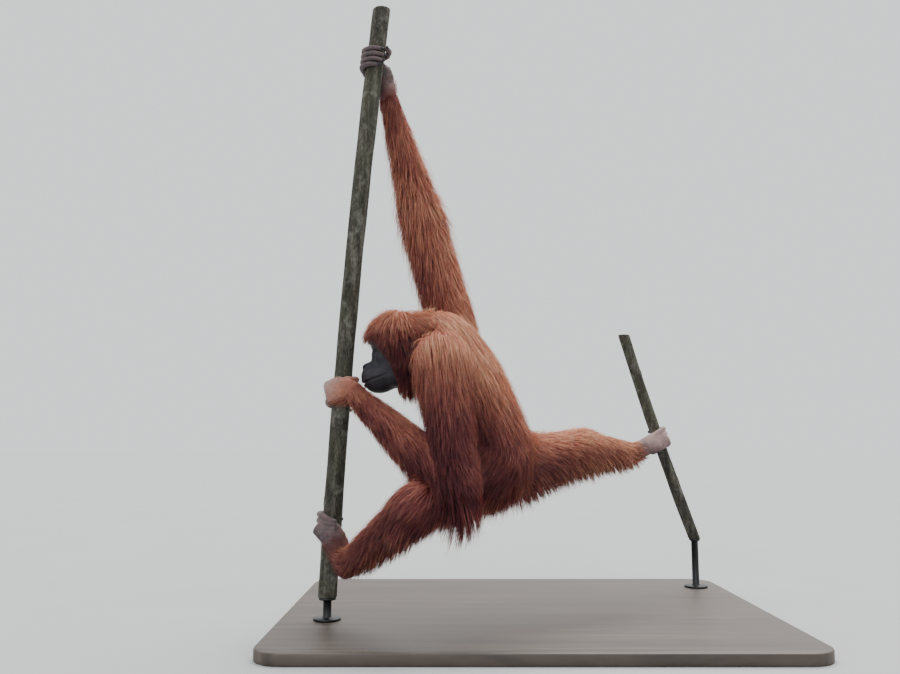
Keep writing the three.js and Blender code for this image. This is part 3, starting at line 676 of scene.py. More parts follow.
def level_surface(field, low, high, step):
    """Points and quads where the field is zero. A cell that the surface crosses gets one point, the
    mean of the crossings on its twelve edges, and each crossed edge joins the four cells round it.
    Two slides along the slope then put each point on the level."""
    low = np.asarray(low, float)
    blocks = np.ceil((np.asarray(high) - low) / (step * BLOCK)).astype(int) + 1
    values = grid_values(field, low, step, tuple(blocks))
    inside = values < 0
    corner = np.stack(np.meshgrid(*[np.arange(2)] * 3, indexing="ij"), axis=-1).reshape(-1, 3)
    size = np.array(values.shape) - 1

    def window(array, c):
        return array[c[0] : c[0] + size[0], c[1] : c[1] + size[1], c[2] : c[2] + size[2]]

    filled = sum(window(inside, c).astype(np.int8) for c in corner)
    cells = np.argwhere((filled > 0) & (filled < 8))
    at_corner = [values[tuple((cells + c).T)] for c in corner]
    total = np.zeros((len(cells), 3))
    count = np.zeros(len(cells))
    for a in range(8):
        for b in range(a + 1, 8):
            if np.abs(corner[a] - corner[b]).sum() != 1:
                continue
            crossed = (at_corner[a] < 0) != (at_corner[b] < 0)
            gap = at_corner[a] - at_corner[b]
            t = at_corner[a] / np.where(crossed, gap, 1)
            total += crossed[:, None] * (corner[a] + t[:, None] * (corner[b] - corner[a]))
            count += crossed
    points = low + step * (cells + total / count[:, None])
    number = np.full(values.shape, -1, np.int32)
    number[tuple(cells.T)] = np.arange(len(cells))
    quads = []
    for axis in range(3):
        one, two = np.eye(3, dtype=int)[(axis + 1) % 3], np.eye(3, dtype=int)[(axis + 2) % 3]
        ahead = np.eye(3, dtype=int)[axis]
        spots = np.argwhere(window(inside, (0, 0, 0)) != window(inside, ahead))
        spots = spots[(spots[:, (axis + 1) % 3] > 0) & (spots[:, (axis + 2) % 3] > 0)]
        ring = [number[tuple((spots - shift).T)] for shift in (one * 0, one, one + two, two)]
        quad = np.stack(ring, axis=1)
        leaving = inside[tuple(spots.T)]
        quads.append(np.where(leaving[:, None], quad, quad[:, ::-1]))
    quads = np.vstack(quads)
    for _ in range(2):
        lean = slope(field, points)
        move = field(points)[:, None] * lean / np.maximum((lean * lean).sum(1, keepdims=True), 0.2)
        points = points - np.clip(move, -step / 2, step / 2)
    return points, quads


# %% The skin, block by block
FACE_EDGE = 12.0
FACE_ROOM = 0.13
FACE_STEP = 1.4 * MM
HAND_STEP = 2.05 * MM
BODY_STEP = 6.5 * MM
OVERLAP = 7.0 * MM
SUNK = 0.5 * MM
HAND_MARGIN = 14 * MM
FACE_HALF = 90 * MM
hand_boxes = {}
for name, (base, row, thumb) in hands.items():
    parts = [base, *row, thumb]
    hand_boxes[name] = (
        np.min([part.at.min(0) for part in parts], axis=0) - HAND_MARGIN,
        np.max([part.at.max(0) for part in parts], axis=0) + HAND_MARGIN,
    )


def outside_box(p, box):
    """Distance outside a box: the greatest of the six distances to its sides."""
    return np.maximum(box[0] - p, p - box[1]).max(axis=1)


def outside_face_room(p):
    """Distance outside the room round the face that is read finely: behind a plane through the head,
    or too far from the head's middle."""
    behind = (FACE_EDGE - in_head(p)[:, 0]) * MM
    return np.maximum(behind, np.linalg.norm(p - on_head([30, -40, 0]), axis=1) - FACE_ROOM)


def shared_edge(total, outside):
    """A coarse skin where a fine one takes over: it goes on for a little way just below the fine one
    and ends there."""
    sunk = total + SUNK * np.clip(1 - outside / OVERLAP, 0, 1)
    return np.maximum(sunk, -outside - OVERLAP)


def face_block(p):
    """The skin of the face, closed by its back plane."""
    return np.maximum(trunk_away(p), outside_face_room(p))


def hand_block(name):
    """The skin of a hand or foot with its digits, closed by its box."""
    base, row, thumb = hands[name]
    limb_name = next(key for key, hand in hand_of.items() if hand == name)
    parts = [*chains[limb_name], base, *row, thumb]
    return lambda p: np.maximum(off_stems(p, chain_away(p, parts)), outside_box(p, hand_boxes[name]))


def body_block(p):
    """The skin without the face and hands, which have blocks of their own."""

    def head(p):
        return shared_edge(head_away(p), outside_face_room(p))

    def cut(name, p, total):
        return shared_edge(total, outside_box(p, hand_boxes[hand_of[name]]))

    return body_away(p, head, cut)


blocks = []
face_middle = on_head([45, -30, 0])
blocks.append(level_surface(face_block, face_middle - FACE_HALF, face_middle + FACE_HALF, FACE_STEP))
for name, box in hand_boxes.items():
    blocks.append(level_surface(hand_block(name), box[0] - 2 * HAND_STEP, box[1] + 2 * HAND_STEP, HAND_STEP))
low = np.min([flesh.low for flesh in [torso, neck, *limbs]], axis=0)
high = np.max([flesh.high for flesh in [torso, neck, *limbs]], axis=0)
blocks.append(level_surface(body_block, low, high, BODY_STEP))
print("skin blocks:", [len(points) for points, _ in blocks])
starts = np.cumsum([0] + [len(points) for points, _ in blocks[:-1]])
skin_points = np.vstack([points for points, _ in blocks])
skin_quads = np.vstack([quads + start for (_, quads), start in zip(blocks, starts)])

# %% [markdown]
# ## Markings and painted light
# Bare skin is nearly black on the face and grey-brown on palms and soles. Under the coat it is a dull
# red, so that no pale skin shows between the tufts. The coat runs from dark maroon at the flanks and
# inside the limbs to red-brown on the back and orange along the edges. Part of that is its own colour
# and part is painted light: painted light from above on the upper body, painted rim light along the
# back and at the edges, and painted shade on the undersides, the cheeks, round the left elbow and on
# the raised hand. Skin and coat read these from the same functions of place, so that they always agree.


# %% Markings and painted light as functions of place
def hairline(p):
    """How far a place on the head is behind the line where hair starts, in millimetres: the line runs
    over the forehead, down in front of the ear and under the chin."""
    q = in_head(p)
    u = q[:, 1]
    line = np.interp(u, [-110, -70, -40, -10, 8, 20, 40], [14, 22, 29, 38, 46, 62, 95])
    return line - q[:, 0]


def ball_head(p):
    """Distance outside the head's masses, without its creases."""
    q = in_head(p)
    q = np.column_stack([q[:, 0], q[:, 1], np.abs(q[:, 2])])
    total = ball(q, *HEAD_MASSES[0][:2])
    for centre, half, blend in HEAD_MASSES[1:]:
        total = soft_least(total, ball(q, centre, half), blend)
    return total * MM


def on_the_head(p):
    """Which places lie on the head itself."""
    near = near_box(p, head_low, head_high)
    near[near] = ball_head(p[near]) < 7 * MM
    return near


def swirl(p, size, seed):
    """Smooth noise from minus one to one: a sum of eight sines of the place, each with its own seeded
    direction, at wavelengths from half of size to twice it."""
    draw = np.random.default_rng(seed)
    ways = unit(draw.normal(size=(8, 3))) * FULL_TURN / (size * draw.uniform(0.5, 2, (8, 1)))
    return np.sin(p @ ways.T + draw.uniform(0, FULL_TURN, 8)).sum(axis=1) / 4


def near(p, spot, reach):
    """One at a spot, falling off as a bump of the distance from it, which is in metres."""
    return bump(np.linalg.norm(p - spot, axis=1), reach)


def coat_markings_and_painted_light(p, normal):
    """How light the coat is, from nought to one, its own markings with painted light and shade laid in:
    light on the reaching leg, the back of the left hand and its forearm and the left heel; painted
    light from above on the upper torso, the crown and wherever the coat faces the sky, and painted rim
    light along the back edge; dark on the flank, partly its own maroon and partly painted shade;
    painted shade round the left elbow, on the cheeks and on the raised hand; with soft patches."""
    x, y, z = p.T
    # painted light from above: the upper torso is lighter
    high = np.clip((z - 0.465 + 0.6 * (x + 0.16)) / 0.14, 0, 1) * np.clip((0.85 - z) / 0.13, 0.4, 1)
    # painted rim light along the back edge
    painted_back_rim = np.clip((x + 0.10 + 0.5 * (z - 0.5)) / 0.09, 0, 1) * np.clip((z - 0.36) / 0.12, 0, 1) * (x < 0.1)
    # painted light from above on the crown
    crown = near(p, on_head([4, 52, 0]), 0.07)
    reached = np.clip((x - 0.02) / 0.2, 0, 1)
    left_hand = bump(z - 0.52, 0.06) * np.clip(1 - np.abs(x + 0.44) / 0.11, 0, 1)
    forearm = near(p, place(-310, -215, 450), 0.12)
    # painted shade on the cheeks, round the left elbow and on the raised hand
    cheek = near(p, on_head([14, -44, 0]), 0.08)
    elbow = near(p, place(-200, -310, 385), 0.14)
    heel = near(p, place(-375, -190, 165), 0.1)
    raised = np.clip((z - 1.16) / 0.08, 0, 1)
    places = [0.48 * high, 0.5 * painted_back_rim, 0.5 * crown, 0.42 * reached, 0.75 * left_hand]
    light = 0.22 + np.maximum.reduce(places)
    # painted light from above where the coat faces up and painted shade where it faces down, and soft patches
    light += np.where(normal[:, 2] > 0, 0.4, 0.3) * normal[:, 2] + 0.11 * swirl(p, 0.09, 3)
    # a lighter forearm and heel; painted shade on the cheeks, round the left elbow and on the raised hand
    light += 0.26 * forearm + 0.12 * heel - 0.85 * cheek - 0.24 * elbow - 0.3 * raised
    return np.clip(light, 0, 1)


# Where a hand's hair starts to thin out, as a share of its palm, and over how many millimetres it goes.
HAIR_ENDS = {
    "hand_right": (-0.45, 60),
    "hand_left": (-0.05, 72),
    "foot_left": (0.25, 60),
    "foot_right": (-0.3, 45),
}


def past_wrist(p, name):
    """How far a place is past a wrist or ankle, as a share of the way over which hair thins out there,
    or far before it if it isn't near that hand."""
    base = hands[name][0]
    share, fade = HAIR_ENDS[name]
    along = base.at[-1] - base.at[0]
    way = unit(unit(along) + unit(base.at[1] - base.at[0]))
    beyond = (p - base.at[0] - share * along) @ way / (fade * MM)
    return np.where(np.linalg.norm(p - base.at[-1], axis=1) < 0.13, beyond, -9.0)


def hairy_share(p):
    """How thickly hair stands, from nought to one: it thins out at the hairline, over the backs of the
    hands and feet, and towards the stems that they hold."""
    hairy = np.where(on_the_head(p), np.clip(0.1 + hairline(p) / 9, 0, 1), 1)
    for name in hands:
        hairy = np.minimum(hairy, np.clip(1.1 - past_wrist(p, name), 0, 1))
    for stem in (sapling, vine):
        hairy = np.minimum(hairy, np.clip(stem.away(p) / 0.01 - 0.5, 0, 1))
    return hairy


def bare_share(p):
    """How bare the skin is: one where hair has thinned out, nought where it stands thickly."""
    return np.clip(1.5 * (1 - hairy_share(p)) - 0.1, 0, 1)


print("hair starts on the forehead", hairline(on_head([[54, 24, 0]])).round(1), "mm behind that place")

# %% The skin as one piece
OTHER_NODES = ("stand_", "perch_", "eye_", "ear_")


def plain_head(p):
    """The head as one ball, for directions only, in metres."""
    return ball(in_head(p), (10, -20, 0), (62, 80, 50)) * MM


flesh_nodes = [name for name in frame["nodes"] if not name.startswith(OTHER_NODES)]
skin_normal = unit(slope(lambda p: body_away(p, plain_head), skin_points, 3 * MM))
face_share = np.clip(1.6 - np.linalg.norm(skin_points - on_head([30, -40, 0]), axis=1) / 0.09, 0, 1)
skin_values = {
    "bare": bare_share(skin_points),
    "face": face_share,
    # the coat's markings with their painted light and shade, read by the skin under the coat and on palms and
    # soles
    "light": coat_markings_and_painted_light(skin_points, skin_normal),
}
new_piece("skin", skin_points, skin_quads, "skin", flesh_nodes, skin_values)

# %% [markdown]
# ## The coat
# An orangutan has long, coarse, rather thin hair that lies along the body and hangs free below it. It
# is made in tufts, each a thin tapered blade of sixteen faces. A tuft's line is found as hair lies:
# it starts at its root, goes with the lie of the coat, droops, and is held off the skin. All tufts of
# a part take each step together, as one array.

# %% Lie of the coat
WHORL = (-34, 58, 0)
DOWN = -UPWARD
LIE_REACH = 8 * MM


def lie_at(p):
    """The way the hair runs: each length's own way and, on the head, away from the whorl at the crown,
    weighed by e to the minus distance outside it over a short reach."""
    total = np.zeros((len(p), 3))
    for flesh in [torso, neck, *limbs, *[base for base, _, _ in hands.values()]]:
        near = near_box(p, flesh.low, flesh.high)
        if near.any():
            distance, way = flesh.away(p[near], want_way=True)
            total[near] += np.exp(-np.clip(distance, -0.03, 0.2) / LIE_REACH)[:, None] * way
    near = near_box(p, head_low, head_high)
    q = in_head(p[near])
    away = ball(q, (8, -20, 0), (62, 80, 50)) * MM
    from_whorl = unit(q - np.array(WHORL)) @ HEAD_AXES
    total[near] += np.exp(-np.clip(away, -0.03, 0.2) / LIE_REACH)[:, None] * (from_whorl + 0.45 * DOWN)
    over_shoulder = bump(np.linalg.norm(p - place(*ARM_LEFT[0]) - 0.03 * UPWARD, axis=1), 0.07)
    return unit(unit(total) + 1.8 * over_shoulder[:, None] * np.array([0.15, -1.0, -0.35]))


def coat_floor(p):
    """Distance outside what the hair lies on: the body, with a plain head, and the stems."""
    total = body_away(p, lambda p: ball_head(p))
    for stem in (sapling, vine):
        total = np.minimum(total, stem.away(p))
    return total


# %% Roots
def slid_on(p, field, limit, slides=3):
    """Places slid along the field's slope onto its level, each slide no longer than limit."""
    for _ in range(slides):
        p = p - unit(slope(field, p, 1.5 * MM)) * np.clip(field(p), -limit, limit)[:, None]
    return p


def scattered(density):
    """Places spread evenly over the skin: marks at jittered even steps of the faces' summed area pick
    the faces, and two random shares pick the place on each."""
    corners = skin_points[skin_quads]
    area = np.linalg.norm(np.cross(corners[:, 2] - corners[:, 0], corners[:, 3] - corners[:, 1]), axis=1) / 2
    count = int(area.sum() * density)
    marks = (np.arange(count) + chance.uniform(0, 1, count)) / count * area.sum()
    face = np.minimum(np.searchsorted(np.cumsum(area), marks), len(area) - 1)
    a, b = chance.uniform(0, 1, (2, count, 1))
    first, second, third, fourth = (corners[face, k] for k in range(4))
    return (first * (1 - a) + second * a) * (1 - b) + (fourth * (1 - a) + third * a) * b


def nearest_part(p, parts):
    """For each place, the number of the part it belongs to: the one it is least far outside."""
    least = np.full(len(p), np.inf)
    number = np.zeros(len(p), int)
    for k, away in enumerate(parts):
        distance = away(p)
        number[distance < least] = k
        least = np.minimum(least, distance)
    return number


# %% Tufts from lines
STEPS = 3
BLADE = 3
angles = FULL_TURN * (np.arange(BLADE) / BLADE + 0.25)
profile = np.array([0.8, 1.0, 0.62])
FLATNESS = 0.4
quads = tube_faces(STEPS, BLADE)
tip = STEPS * BLADE
last = tip - BLADE
tuft_faces = [[a, b, c] for a, b, c, _ in quads] + [[a, c, d] for a, _, c, d in quads]
tuft_faces += [[last + k, last + (k + 1) % BLADE, tip] for k in range(BLADE)] + [[2, 1, 0]]
tuft_faces = np.array(tuft_faces)
print("faces in a tuft:", len(tuft_faces))


def grow(root, normal, length, lift, hang):
    """Lines of hair: at each step a line goes with the lie, with the pull of its weight growing along
    it, then it is moved towards its own height over the skin, less so where it hangs free. At the
    end each inner point is drawn halfway to the middle of its neighbours, so no line has a corner."""
    lines = [root - 2.5 * MM * normal]
    p = root + 0
    phase = chance.uniform(0, FULL_TURN, len(root))
    curl = chance.uniform(0.05, 0.24, len(root))
    for k in range(1, STEPS + 1):
        t = k / STEPS
        lie = lie_at(p)
        sideways = unit(np.cross(lie, normal))
        weight = (0.25 + hang * t)[:, None]
        wave = (curl * np.sin(phase + 5 * t))[:, None]
        way = unit(lie + weight * DOWN + (0.5 - 0.5 * t) * normal + wave * sideways)
        p = p + way * (length / STEPS)[:, None]
        short = lift * min(1.0, 0.35 + 0.9 * t) - coat_floor(p)
        free = np.clip(hang * t, 0, 1) * 0.9
        up = unit(slope(coat_floor, p, 2 * MM))
        p = p + up * np.where(short > 0, short, 0.5 * short * (1 - free))[:, None]
        lines.append(p)
    lines = np.stack(lines, axis=1)
    rounded = 0.25 * lines[:, :-2] + 0.5 * lines[:, 1:-1] + 0.25 * lines[:, 2:]
    return np.concatenate([lines[:, :1], rounded, lines[:, -1:]], axis=1)


def gathered(lines, root, size, pull):
    """Lines drawn together in locks: roots are sorted into warped cells, and each line is pulled to the
    mean line of its cell, more and more towards the tip."""
    warp = np.column_stack([swirl(root, 4 * size, seed) for seed in (5, 6, 7)])
    cells = np.floor(root / size + 0.6 * warp).astype(int)
    _, group = np.unique(cells, axis=0, return_inverse=True)
    group = group.ravel()
    count = np.bincount(group)
    means = np.zeros((len(count), *lines.shape[1:]))
    np.add.at(means, group, lines)
    means /= count[:, None, None]
    t = np.linspace(0, 1, STEPS + 1)[None, :, None]
    return lines + (means[group] - lines) * pull[:, None, None] * t**1.5


def blades(lines, normal, width):
    """A blade round each line: rings of three points, twice and a half as wide as they are thick, that
    narrow to the tip."""
    ahead = unit(np.gradient(lines, axis=1))
    start = np.cross(ahead[:, 0], normal)
    roll = chance.normal(0, 0.5, len(lines))[:, None]
    start = unit(start) * np.cos(roll) + normal * np.sin(roll)
    side = unit(start[:, None] - (start[:, None] * ahead).sum(-1, keepdims=True) * ahead)
    over = np.cross(ahead, side)
    wide = (width[:, None] * profile)[:, :, None, None]
    rings = np.cos(angles)[:, None] * side[:, :STEPS, None]
    rings = rings + FLATNESS * np.sin(angles)[:, None] * over[:, :STEPS, None]
    rings = lines[:, :STEPS, None] + wide * rings
    return np.concatenate([rings.reshape(len(lines), -1, 3), lines[:, STEPS:]], axis=1)


# %% [markdown]
# ## Tufts on every part
# Hair is longest on the arms, shoulders and flanks, shorter on the shins and the crown, and very short
# on the backs of the hands and feet. Where the skin faces down, the hair is longer and hangs clear,
# which gives the fringes under the arms, belly and legs.

# %% The coat, part by part
DENSITY = 136000
CLUMP = 15 * MM
WIDTH = 0.98 * MM
FLYAWAYS = 0.3
PATCH = 0.003
MOST_TUFTS = 12000
along = np.append(np.repeat(np.arange(STEPS) / STEPS, BLADE), 1.0)
patch = np.column_stack([np.append(np.tile(np.arange(BLADE) / BLADE, STEPS), 0.5), along]) * PATCH
corner_tone = np.append(np.tile([0.3, -0.35, 0.1], STEPS), 0.3)
LIFTS = {
    "torso": ([0, 0.5, 1], [24, 20, 10]),
    "neck": ([0, 1], [20, 18]),
    "upper_arm_left": ([0, 1], [20, 18]),
    "upper_arm_right": ([0, 0.3, 1], [10, 16, 32]),
    "forearm_left": ([0, 0.4, 1], [24, 18, 7]),
    "forearm_right": ([0, 0.4, 1], [36, 24, 5]),
    "thigh_left": ([0, 1], [16, 13]),
    "thigh_right": ([0, 1], [16, 14]),
    "shin_left": ([0, 0.6, 1], [14, 12, 6]),
    "shin_right": ([0, 0.6, 1], [12, 7, 4]),
}
LENGTHS = {
    "torso": ([0, 0.3, 1], [56, 74, 78]),
    "neck": ([0, 1], [60, 50]),
    "head": ([0, 1], [40, 40]),
    "upper_arm_left": ([0, 0.6, 1], [84, 68, 34]),
    "upper_arm_right": ([0, 1], [84, 80]),
    "forearm_left": ([0, 0.4, 1], [74, 62, 26]),
    "forearm_right": ([0, 0.4, 1], [80, 62, 26]),
    "thigh_left": ([0, 1], [66, 58]),
    "thigh_right": ([0, 1], [66, 58]),
    "shin_left": ([0, 0.6, 1], [56, 48, 26]),
    "shin_right": ([0, 0.6, 1], [56, 48, 26]),
    "hand_left": ([0, 0.5, 1], [36, 32, 24]),
}
FRINGES = {"torso": -0.15, "thigh_left": 0.1, "upper_arm_left": 0.0}
HANGS = {"forearm_right": 1.1, "upper_arm_right": 0.6}


def dress(name, slot, root, chart):
    """Adds a part's tufts in pieces of few enough faces. Each tuft carries its tone, which is raised on
    flyaways as painted rim glow, how light the coat is at its root with the painted light and shade in
    that, and how far along it a point is."""
    order = np.argsort(chart[:, 1], kind="stable")
    root, chart = root[order], chart[order]
    normal = unit(slope(coat_floor, root, 2 * MM))
    share = chart[:, 1]
    on_hand = name.startswith(("hand", "foot"))
    length = np.interp(share, *LENGTHS.get(name, ([0, 0.5, 1], [24, 17, 9]))) * MM
    lift = np.interp(share, *LIFTS.get(name, ([0, 0.4, 1], [6, 4, 2]))) * MM
    if name == "head":
        behind = hairline(root)
        length = np.interp(behind, [0, 12, 45], [10, 28, 44]) * MM
        lift = np.interp(behind, [0, 12, 45], [2, 8, 17]) * MM
    under = np.clip(-normal[:, 2], 0, 1) * (not on_hand)
    stray = chance.uniform(0, 1, len(root)) < FLYAWAYS
    lift = lift * chance.uniform(0.25, 1, len(root)) * (1 + 0.8 * under) * np.where(stray, 1.4, 1)
    fringe = 1 + FRINGES.get(name, 0.4) * under
    length = length * chance.uniform(0.7, 1.1, len(root)) * fringe * np.where(stray, 1.12, 1)
    lines = grow(root, normal, length, lift, HANGS.get(name, 0.25) + 1.6 * under)
    pull = chance.uniform(0.25, 0.75, len(root)) * np.where(stray, 0.4, 1)
    lines = gathered(lines, root, CLUMP if length.mean() > 0.03 else 0.6 * CLUMP, pull)
    width = WIDTH * chance.uniform(0.75, 1.25, len(root)) * np.where(stray, 0.5, 1) * (0.55 if on_hand else 1)
    points = blades(lines, normal, width * np.clip(length / 0.05, 0.6, 1))
    # flyaways are lighter, more so where they hang underneath: painted glow of backlit edges
    tone = chance.uniform(0, 1, len(root)) + 0.9 * stray * (1 + 3 * under)
    light = coat_markings_and_painted_light(root, normal)
    corner = np.array([slot % 4, slot // 4]) / 4 + 0.006
    uv = (corner + chart * 0.23)[:, None] + patch[None]
    for k, first in enumerate(range(0, len(root), MOST_TUFTS)):
        part = slice(first, first + MOST_TUFTS)
        count = len(root[part])
        faces = (tuft_faces[None] + np.arange(count)[:, None, None] * (tip + 1)).reshape(-1, 3)
        values = {
            "along": np.tile(along, count),
            "tone": (tone[part, None] + corner_tone).ravel(),
            "light": np.repeat(light[part], tip + 1),
        }
        points_here = points[part].reshape(-1, 3)
        new_piece(f"coat_{name}_{k + 1}", points_here, faces, "coat", [name], values, uv[part].reshape(-1, 2))


def head_chart(p):
    """The two angles of a place's direction from the head's middle, each from nought to one."""
    way = unit(in_head(p) - np.array([8, -18, 0]))
    return np.column_stack([np.arctan2(way[:, 2], way[:, 0]) / FULL_TURN % 1, np.arccos(way[:, 1]) / math.pi])


flesh_of_coat = [torso, neck, *limbs, *[base for base, _, _ in hands.values()]]
root = slid_on(scattered(DENSITY), coat_floor, 5 * MM, 2)
root = root[np.abs(coat_floor(root)) < 1.5 * MM]
root = root[hairy_share(root) > chance.uniform(0, 1, len(root))]
number = nearest_part(root, [*[flesh.away for flesh in flesh_of_coat], lambda p: ball_head(p) - 4 * MM])
for slot, flesh in enumerate(flesh_of_coat):
    dress(flesh.name, slot, root[number == slot], flesh.chart(root[number == slot]))
head_root = root[number == len(flesh_of_coat)]
dress("head", len(flesh_of_coat), head_root, head_chart(head_root))
coat_faces = sum(len(piece.data.polygons) for piece in bpy.data.objects if piece.name.startswith("coat_"))
print("tufts:", len(root), "triangles in the coat:", coat_faces)

# %% [markdown]
# ## Eyes, ears and nails
# Each eye is a ball with a slight swelling in front, dark all over as an orangutan's mostly is. An ear
# is a small cup with a rolled rim, close to the head. A nail is a little domed plate on the outer side
# of each digit's end.


# %% Round pieces
def ball_points(rows, around):
    """Directions on a ball: rows of angles from the front pole to the back one, and turns about the
    first axis. A pole is one point, and the faces close onto it."""
    polar = np.linspace(0, math.pi, rows + 2)[1:-1]
    turn = np.arange(around) / around * FULL_TURN
    p, t = np.meshgrid(polar, turn, indexing="ij")
    ways = np.stack([np.cos(p), np.sin(p) * np.cos(t), np.sin(p) * np.sin(t)], axis=-1).reshape(-1, 3)
    return np.vstack([ways, [[1, 0, 0], [-1, 0, 0]]]), closed_faces(rows, around)


def closed_faces(rows, around):
    """Triangles of a tube of rows whose two ends close onto a point each, numbered after the rows."""
    quads = tube_faces(rows, around)
    column = np.arange(around)
    beside = (column + 1) % around
    first, last, start = rows * around, rows * around + 1, (rows - 1) * around
    return np.vstack(
        [
            quads[:, [0, 1, 2]],
            quads[:, [0, 2, 3]],
            np.column_stack([np.full(around, first), beside, column]),
            np.column_stack([start + column, start + beside, np.full(around, last)]),
        ]
    )


ways, eye_faces = ball_points(30, 32)
for name, sign in (("eye_left", -1), ("eye_right", 1)):
    polar = np.arccos(np.clip(ways[:, 0], -1, 1))
    radius = EYE_RADIUS - 0.1 + 0.9 * bump(polar, 0.42)
    spot = on_head(EYE * (1, 1, sign) + ways * radius[:, None])
    new_piece(f"{name}_ball", spot, eye_faces[:, ::-1], "eye", [name], {"ring": polar})

# %% Ears
EAR = np.array([-16.0, -22.0, 61.0])
EAR_HALF = (13.0, 19.0)
EAR_ROWS = 26
EAR_AROUND = 40
EAR_BACK = EAR[2] - 9
EAR_RIM = [(-12, 0.45), (-5, 0.5), (2, 0.78), (5.5, 0.97), (7.2, 1.02)]
EAR_HOLLOW = [(7.4, 0.93), (5.4, 0.84), (1.5, 0.68), (-1, 0.4), (-2, 0.12)]
ear_profile = smooth_line(EAR_RIM + EAR_HOLLOW, EAR_ROWS)
ear_faces = closed_faces(EAR_ROWS, EAR_AROUND)
turn = np.arange(EAR_AROUND) / EAR_AROUND * FULL_TURN
from_back = (turn - 2.6 + math.pi) % FULL_TURN - math.pi
for name, sign in (("ear_left", -1), ("ear_right", 1)):
    out, size = ear_profile[:, 0, None], ear_profile[:, 1, None]
    ridge = 1.3 * bump(size - 0.62, 0.12) * (out > -3) * bump(from_back, 1.2)
    forward = EAR[0] + EAR_HALF[0] * size * np.cos(turn) * (1 + 0.08 * np.sin(turn))
    upward = EAR[1] + EAR_HALF[1] * size * np.sin(turn)
    outward = EAR_BACK + out + 3.4 * size * -np.cos(turn) + ridge
    points = np.stack([forward, upward, outward * sign], axis=-1).reshape(-1, 3)
    ends = np.array([[EAR[0], EAR[1], (EAR_BACK + end) * sign] for end in (-14, -2.2)])
    spot = on_head(np.vstack([points, ends]))
    values = {"bare": np.ones(len(spot)), "face": np.full(len(spot), 0.7), "light": np.zeros(len(spot))}
    new_piece(f"{name}_cup", spot, ear_faces[:, ::sign], "skin", [name], values)

# %% Nails
NAIL = place(5.6, 4.4, 1.5)
ways, nail_faces = ball_points(9, 14)
nail_points = []
nail_all = []
for name, (base, row, thumb) in hands.items():
    stem = vine if name == "foot_right" else sapling
    for flesh in [*row, thumb]:
        end = flesh.at[-1]
        axis = unit(flesh.at[-1] - flesh.at[-3])
        centre = np.array(stem.middle(end[2] / MM)) * MM
        outward = unit((end - centre) - (end - centre) @ axis * axis)
        frame_of = np.stack([axis, np.cross(outward, axis), outward])
        at = end + axis * 1.5 * MM + outward * (flesh.wide[-1] - 0.6 * MM)
        curve = ways * NAIL
        curve[:, 2] -= (ways[:, 0] ** 2 * 1.4 + ways[:, 1] ** 2 * 1.2) * MM
        nail_all.append(nail_faces + len(ways) * len(nail_points))
        nail_points.append(at + curve @ frame_of)
nail_points = np.vstack(nail_points)
ones = np.ones(len(nail_points))
new_piece("nails", nail_points, np.vstack(nail_all)[:, ::-1], "skin", [], {"bare": ones, "face": ones})

# %% [markdown]
# ## Stems and stand
# The stems are sawn lengths of living wood, so they swell and wander a little, carry low knots and end
# in clean cuts. Each is one surface of height and angle. The stand is plain: a board with rounded edges
# and two turned rods with a flange at the foot.


# %% Stems
def stem_piece(name, stem, node, seed, rows=220, around=40):
    """A stem: at each height and angle the point is the middle line plus the radius, a slow wander, low
    knots and fine ridges that twist slowly, along the angle's direction."""
    draw = np.random.default_rng(seed)
    heights = np.linspace(stem.bottom, stem.top, rows)
    heights = np.concatenate([[stem.bottom] * 2, heights[1:-1], [stem.top] * 2])
    edge = np.concatenate([[0.5, 0.965], np.ones(rows - 2), [0.965, 0.5]])
    heights[2], heights[-3] = stem.bottom + 1.2, stem.top - 1.2
    turn = np.arange(around) / around * FULL_TURN
    h, a = np.meshgrid(heights, turn, indexing="ij")
    swell = 0.35 * np.sin(h / 37 + 1.3) + 0.35 * np.sin(2 * a + h / 160)
    ridge = 0.28 * np.sin(9 * a + h / 70) * np.sin(h / 23 + 2 * a) + 0.2 * np.sin(5 * a - h / 31)
    knots = np.zeros_like(h)
    for _ in range(5):
        at = draw.uniform(stem.bottom + 40, stem.top - 40)
        side = draw.uniform(0, FULL_TURN)
        size = draw.uniform(6, 10)
        turned = (a - side + math.pi) % FULL_TURN - math.pi
        ring = np.hypot(h - at, turned * stem.radius) / size
        knots += 1.1 * bump(ring - 0.8, 0.35) - 0.4 * bump(ring, 0.35)
    radius = (stem.radius - 1.6 + swell + ridge + knots) * edge[:, None]
    x, y, _ = stem.middle(h)
    points = np.stack([x + radius * np.cos(a), y + radius * np.sin(a), h], axis=-1).reshape(-1, 3)
    ends = [stem.middle(stem.bottom), stem.middle(stem.top)]
    faces = closed_faces(len(heights), around)
    cut = np.append(np.repeat(edge < 0.9, around).astype(float), [1, 1])
    new_piece(name, np.vstack([points, ends]) * MM, faces, "bark", [node], {"cut": cut})


stem_piece("sapling_bark", sapling, "perch_sapling", 11)
stem_piece("vine_bark", vine, "perch_vine", 12, rows=110, around=32)


# %% Rods and board
def turned_piece(name, profile, foot, slot, nodes, around=48):
    """A turned piece: rings of the profile's radii at its heights about an upright axis, closed on the
    axis at both ends."""
    turn = np.arange(around) / around * FULL_TURN
    radius, height = np.array(profile, float).T
    x, y = radius[:, None] * np.cos(turn), radius[:, None] * np.sin(turn)
    ring = np.stack([x, y, height[:, None] + 0 * turn], axis=-1)
    ends = [[0, 0, height[0]], [0, 0, height[-1]]]
    points = np.vstack([ring.reshape(-1, 3), ends]) + foot
    new_piece(name, points * MM, closed_faces(len(profile), around), slot, nodes)


def rod_profile(top, plate):
    """A flange with rounded edges, a small fillet, a straight rod and a plate that carries the stem."""
    flange = [(4, 0), (29, 0), (29.7, 0.4), (30, 1), (30, 4), (29.7, 4.6), (29, 5)]
    rod = [(13, 5), (10.4, 5.8), (9, 8), (9, top - 8), (10.4, top - 5.8)]
    head = [(plate - 1, top - 5), (plate, top - 4.2), (plate, top), (3, top)]
    return flange + rod + head


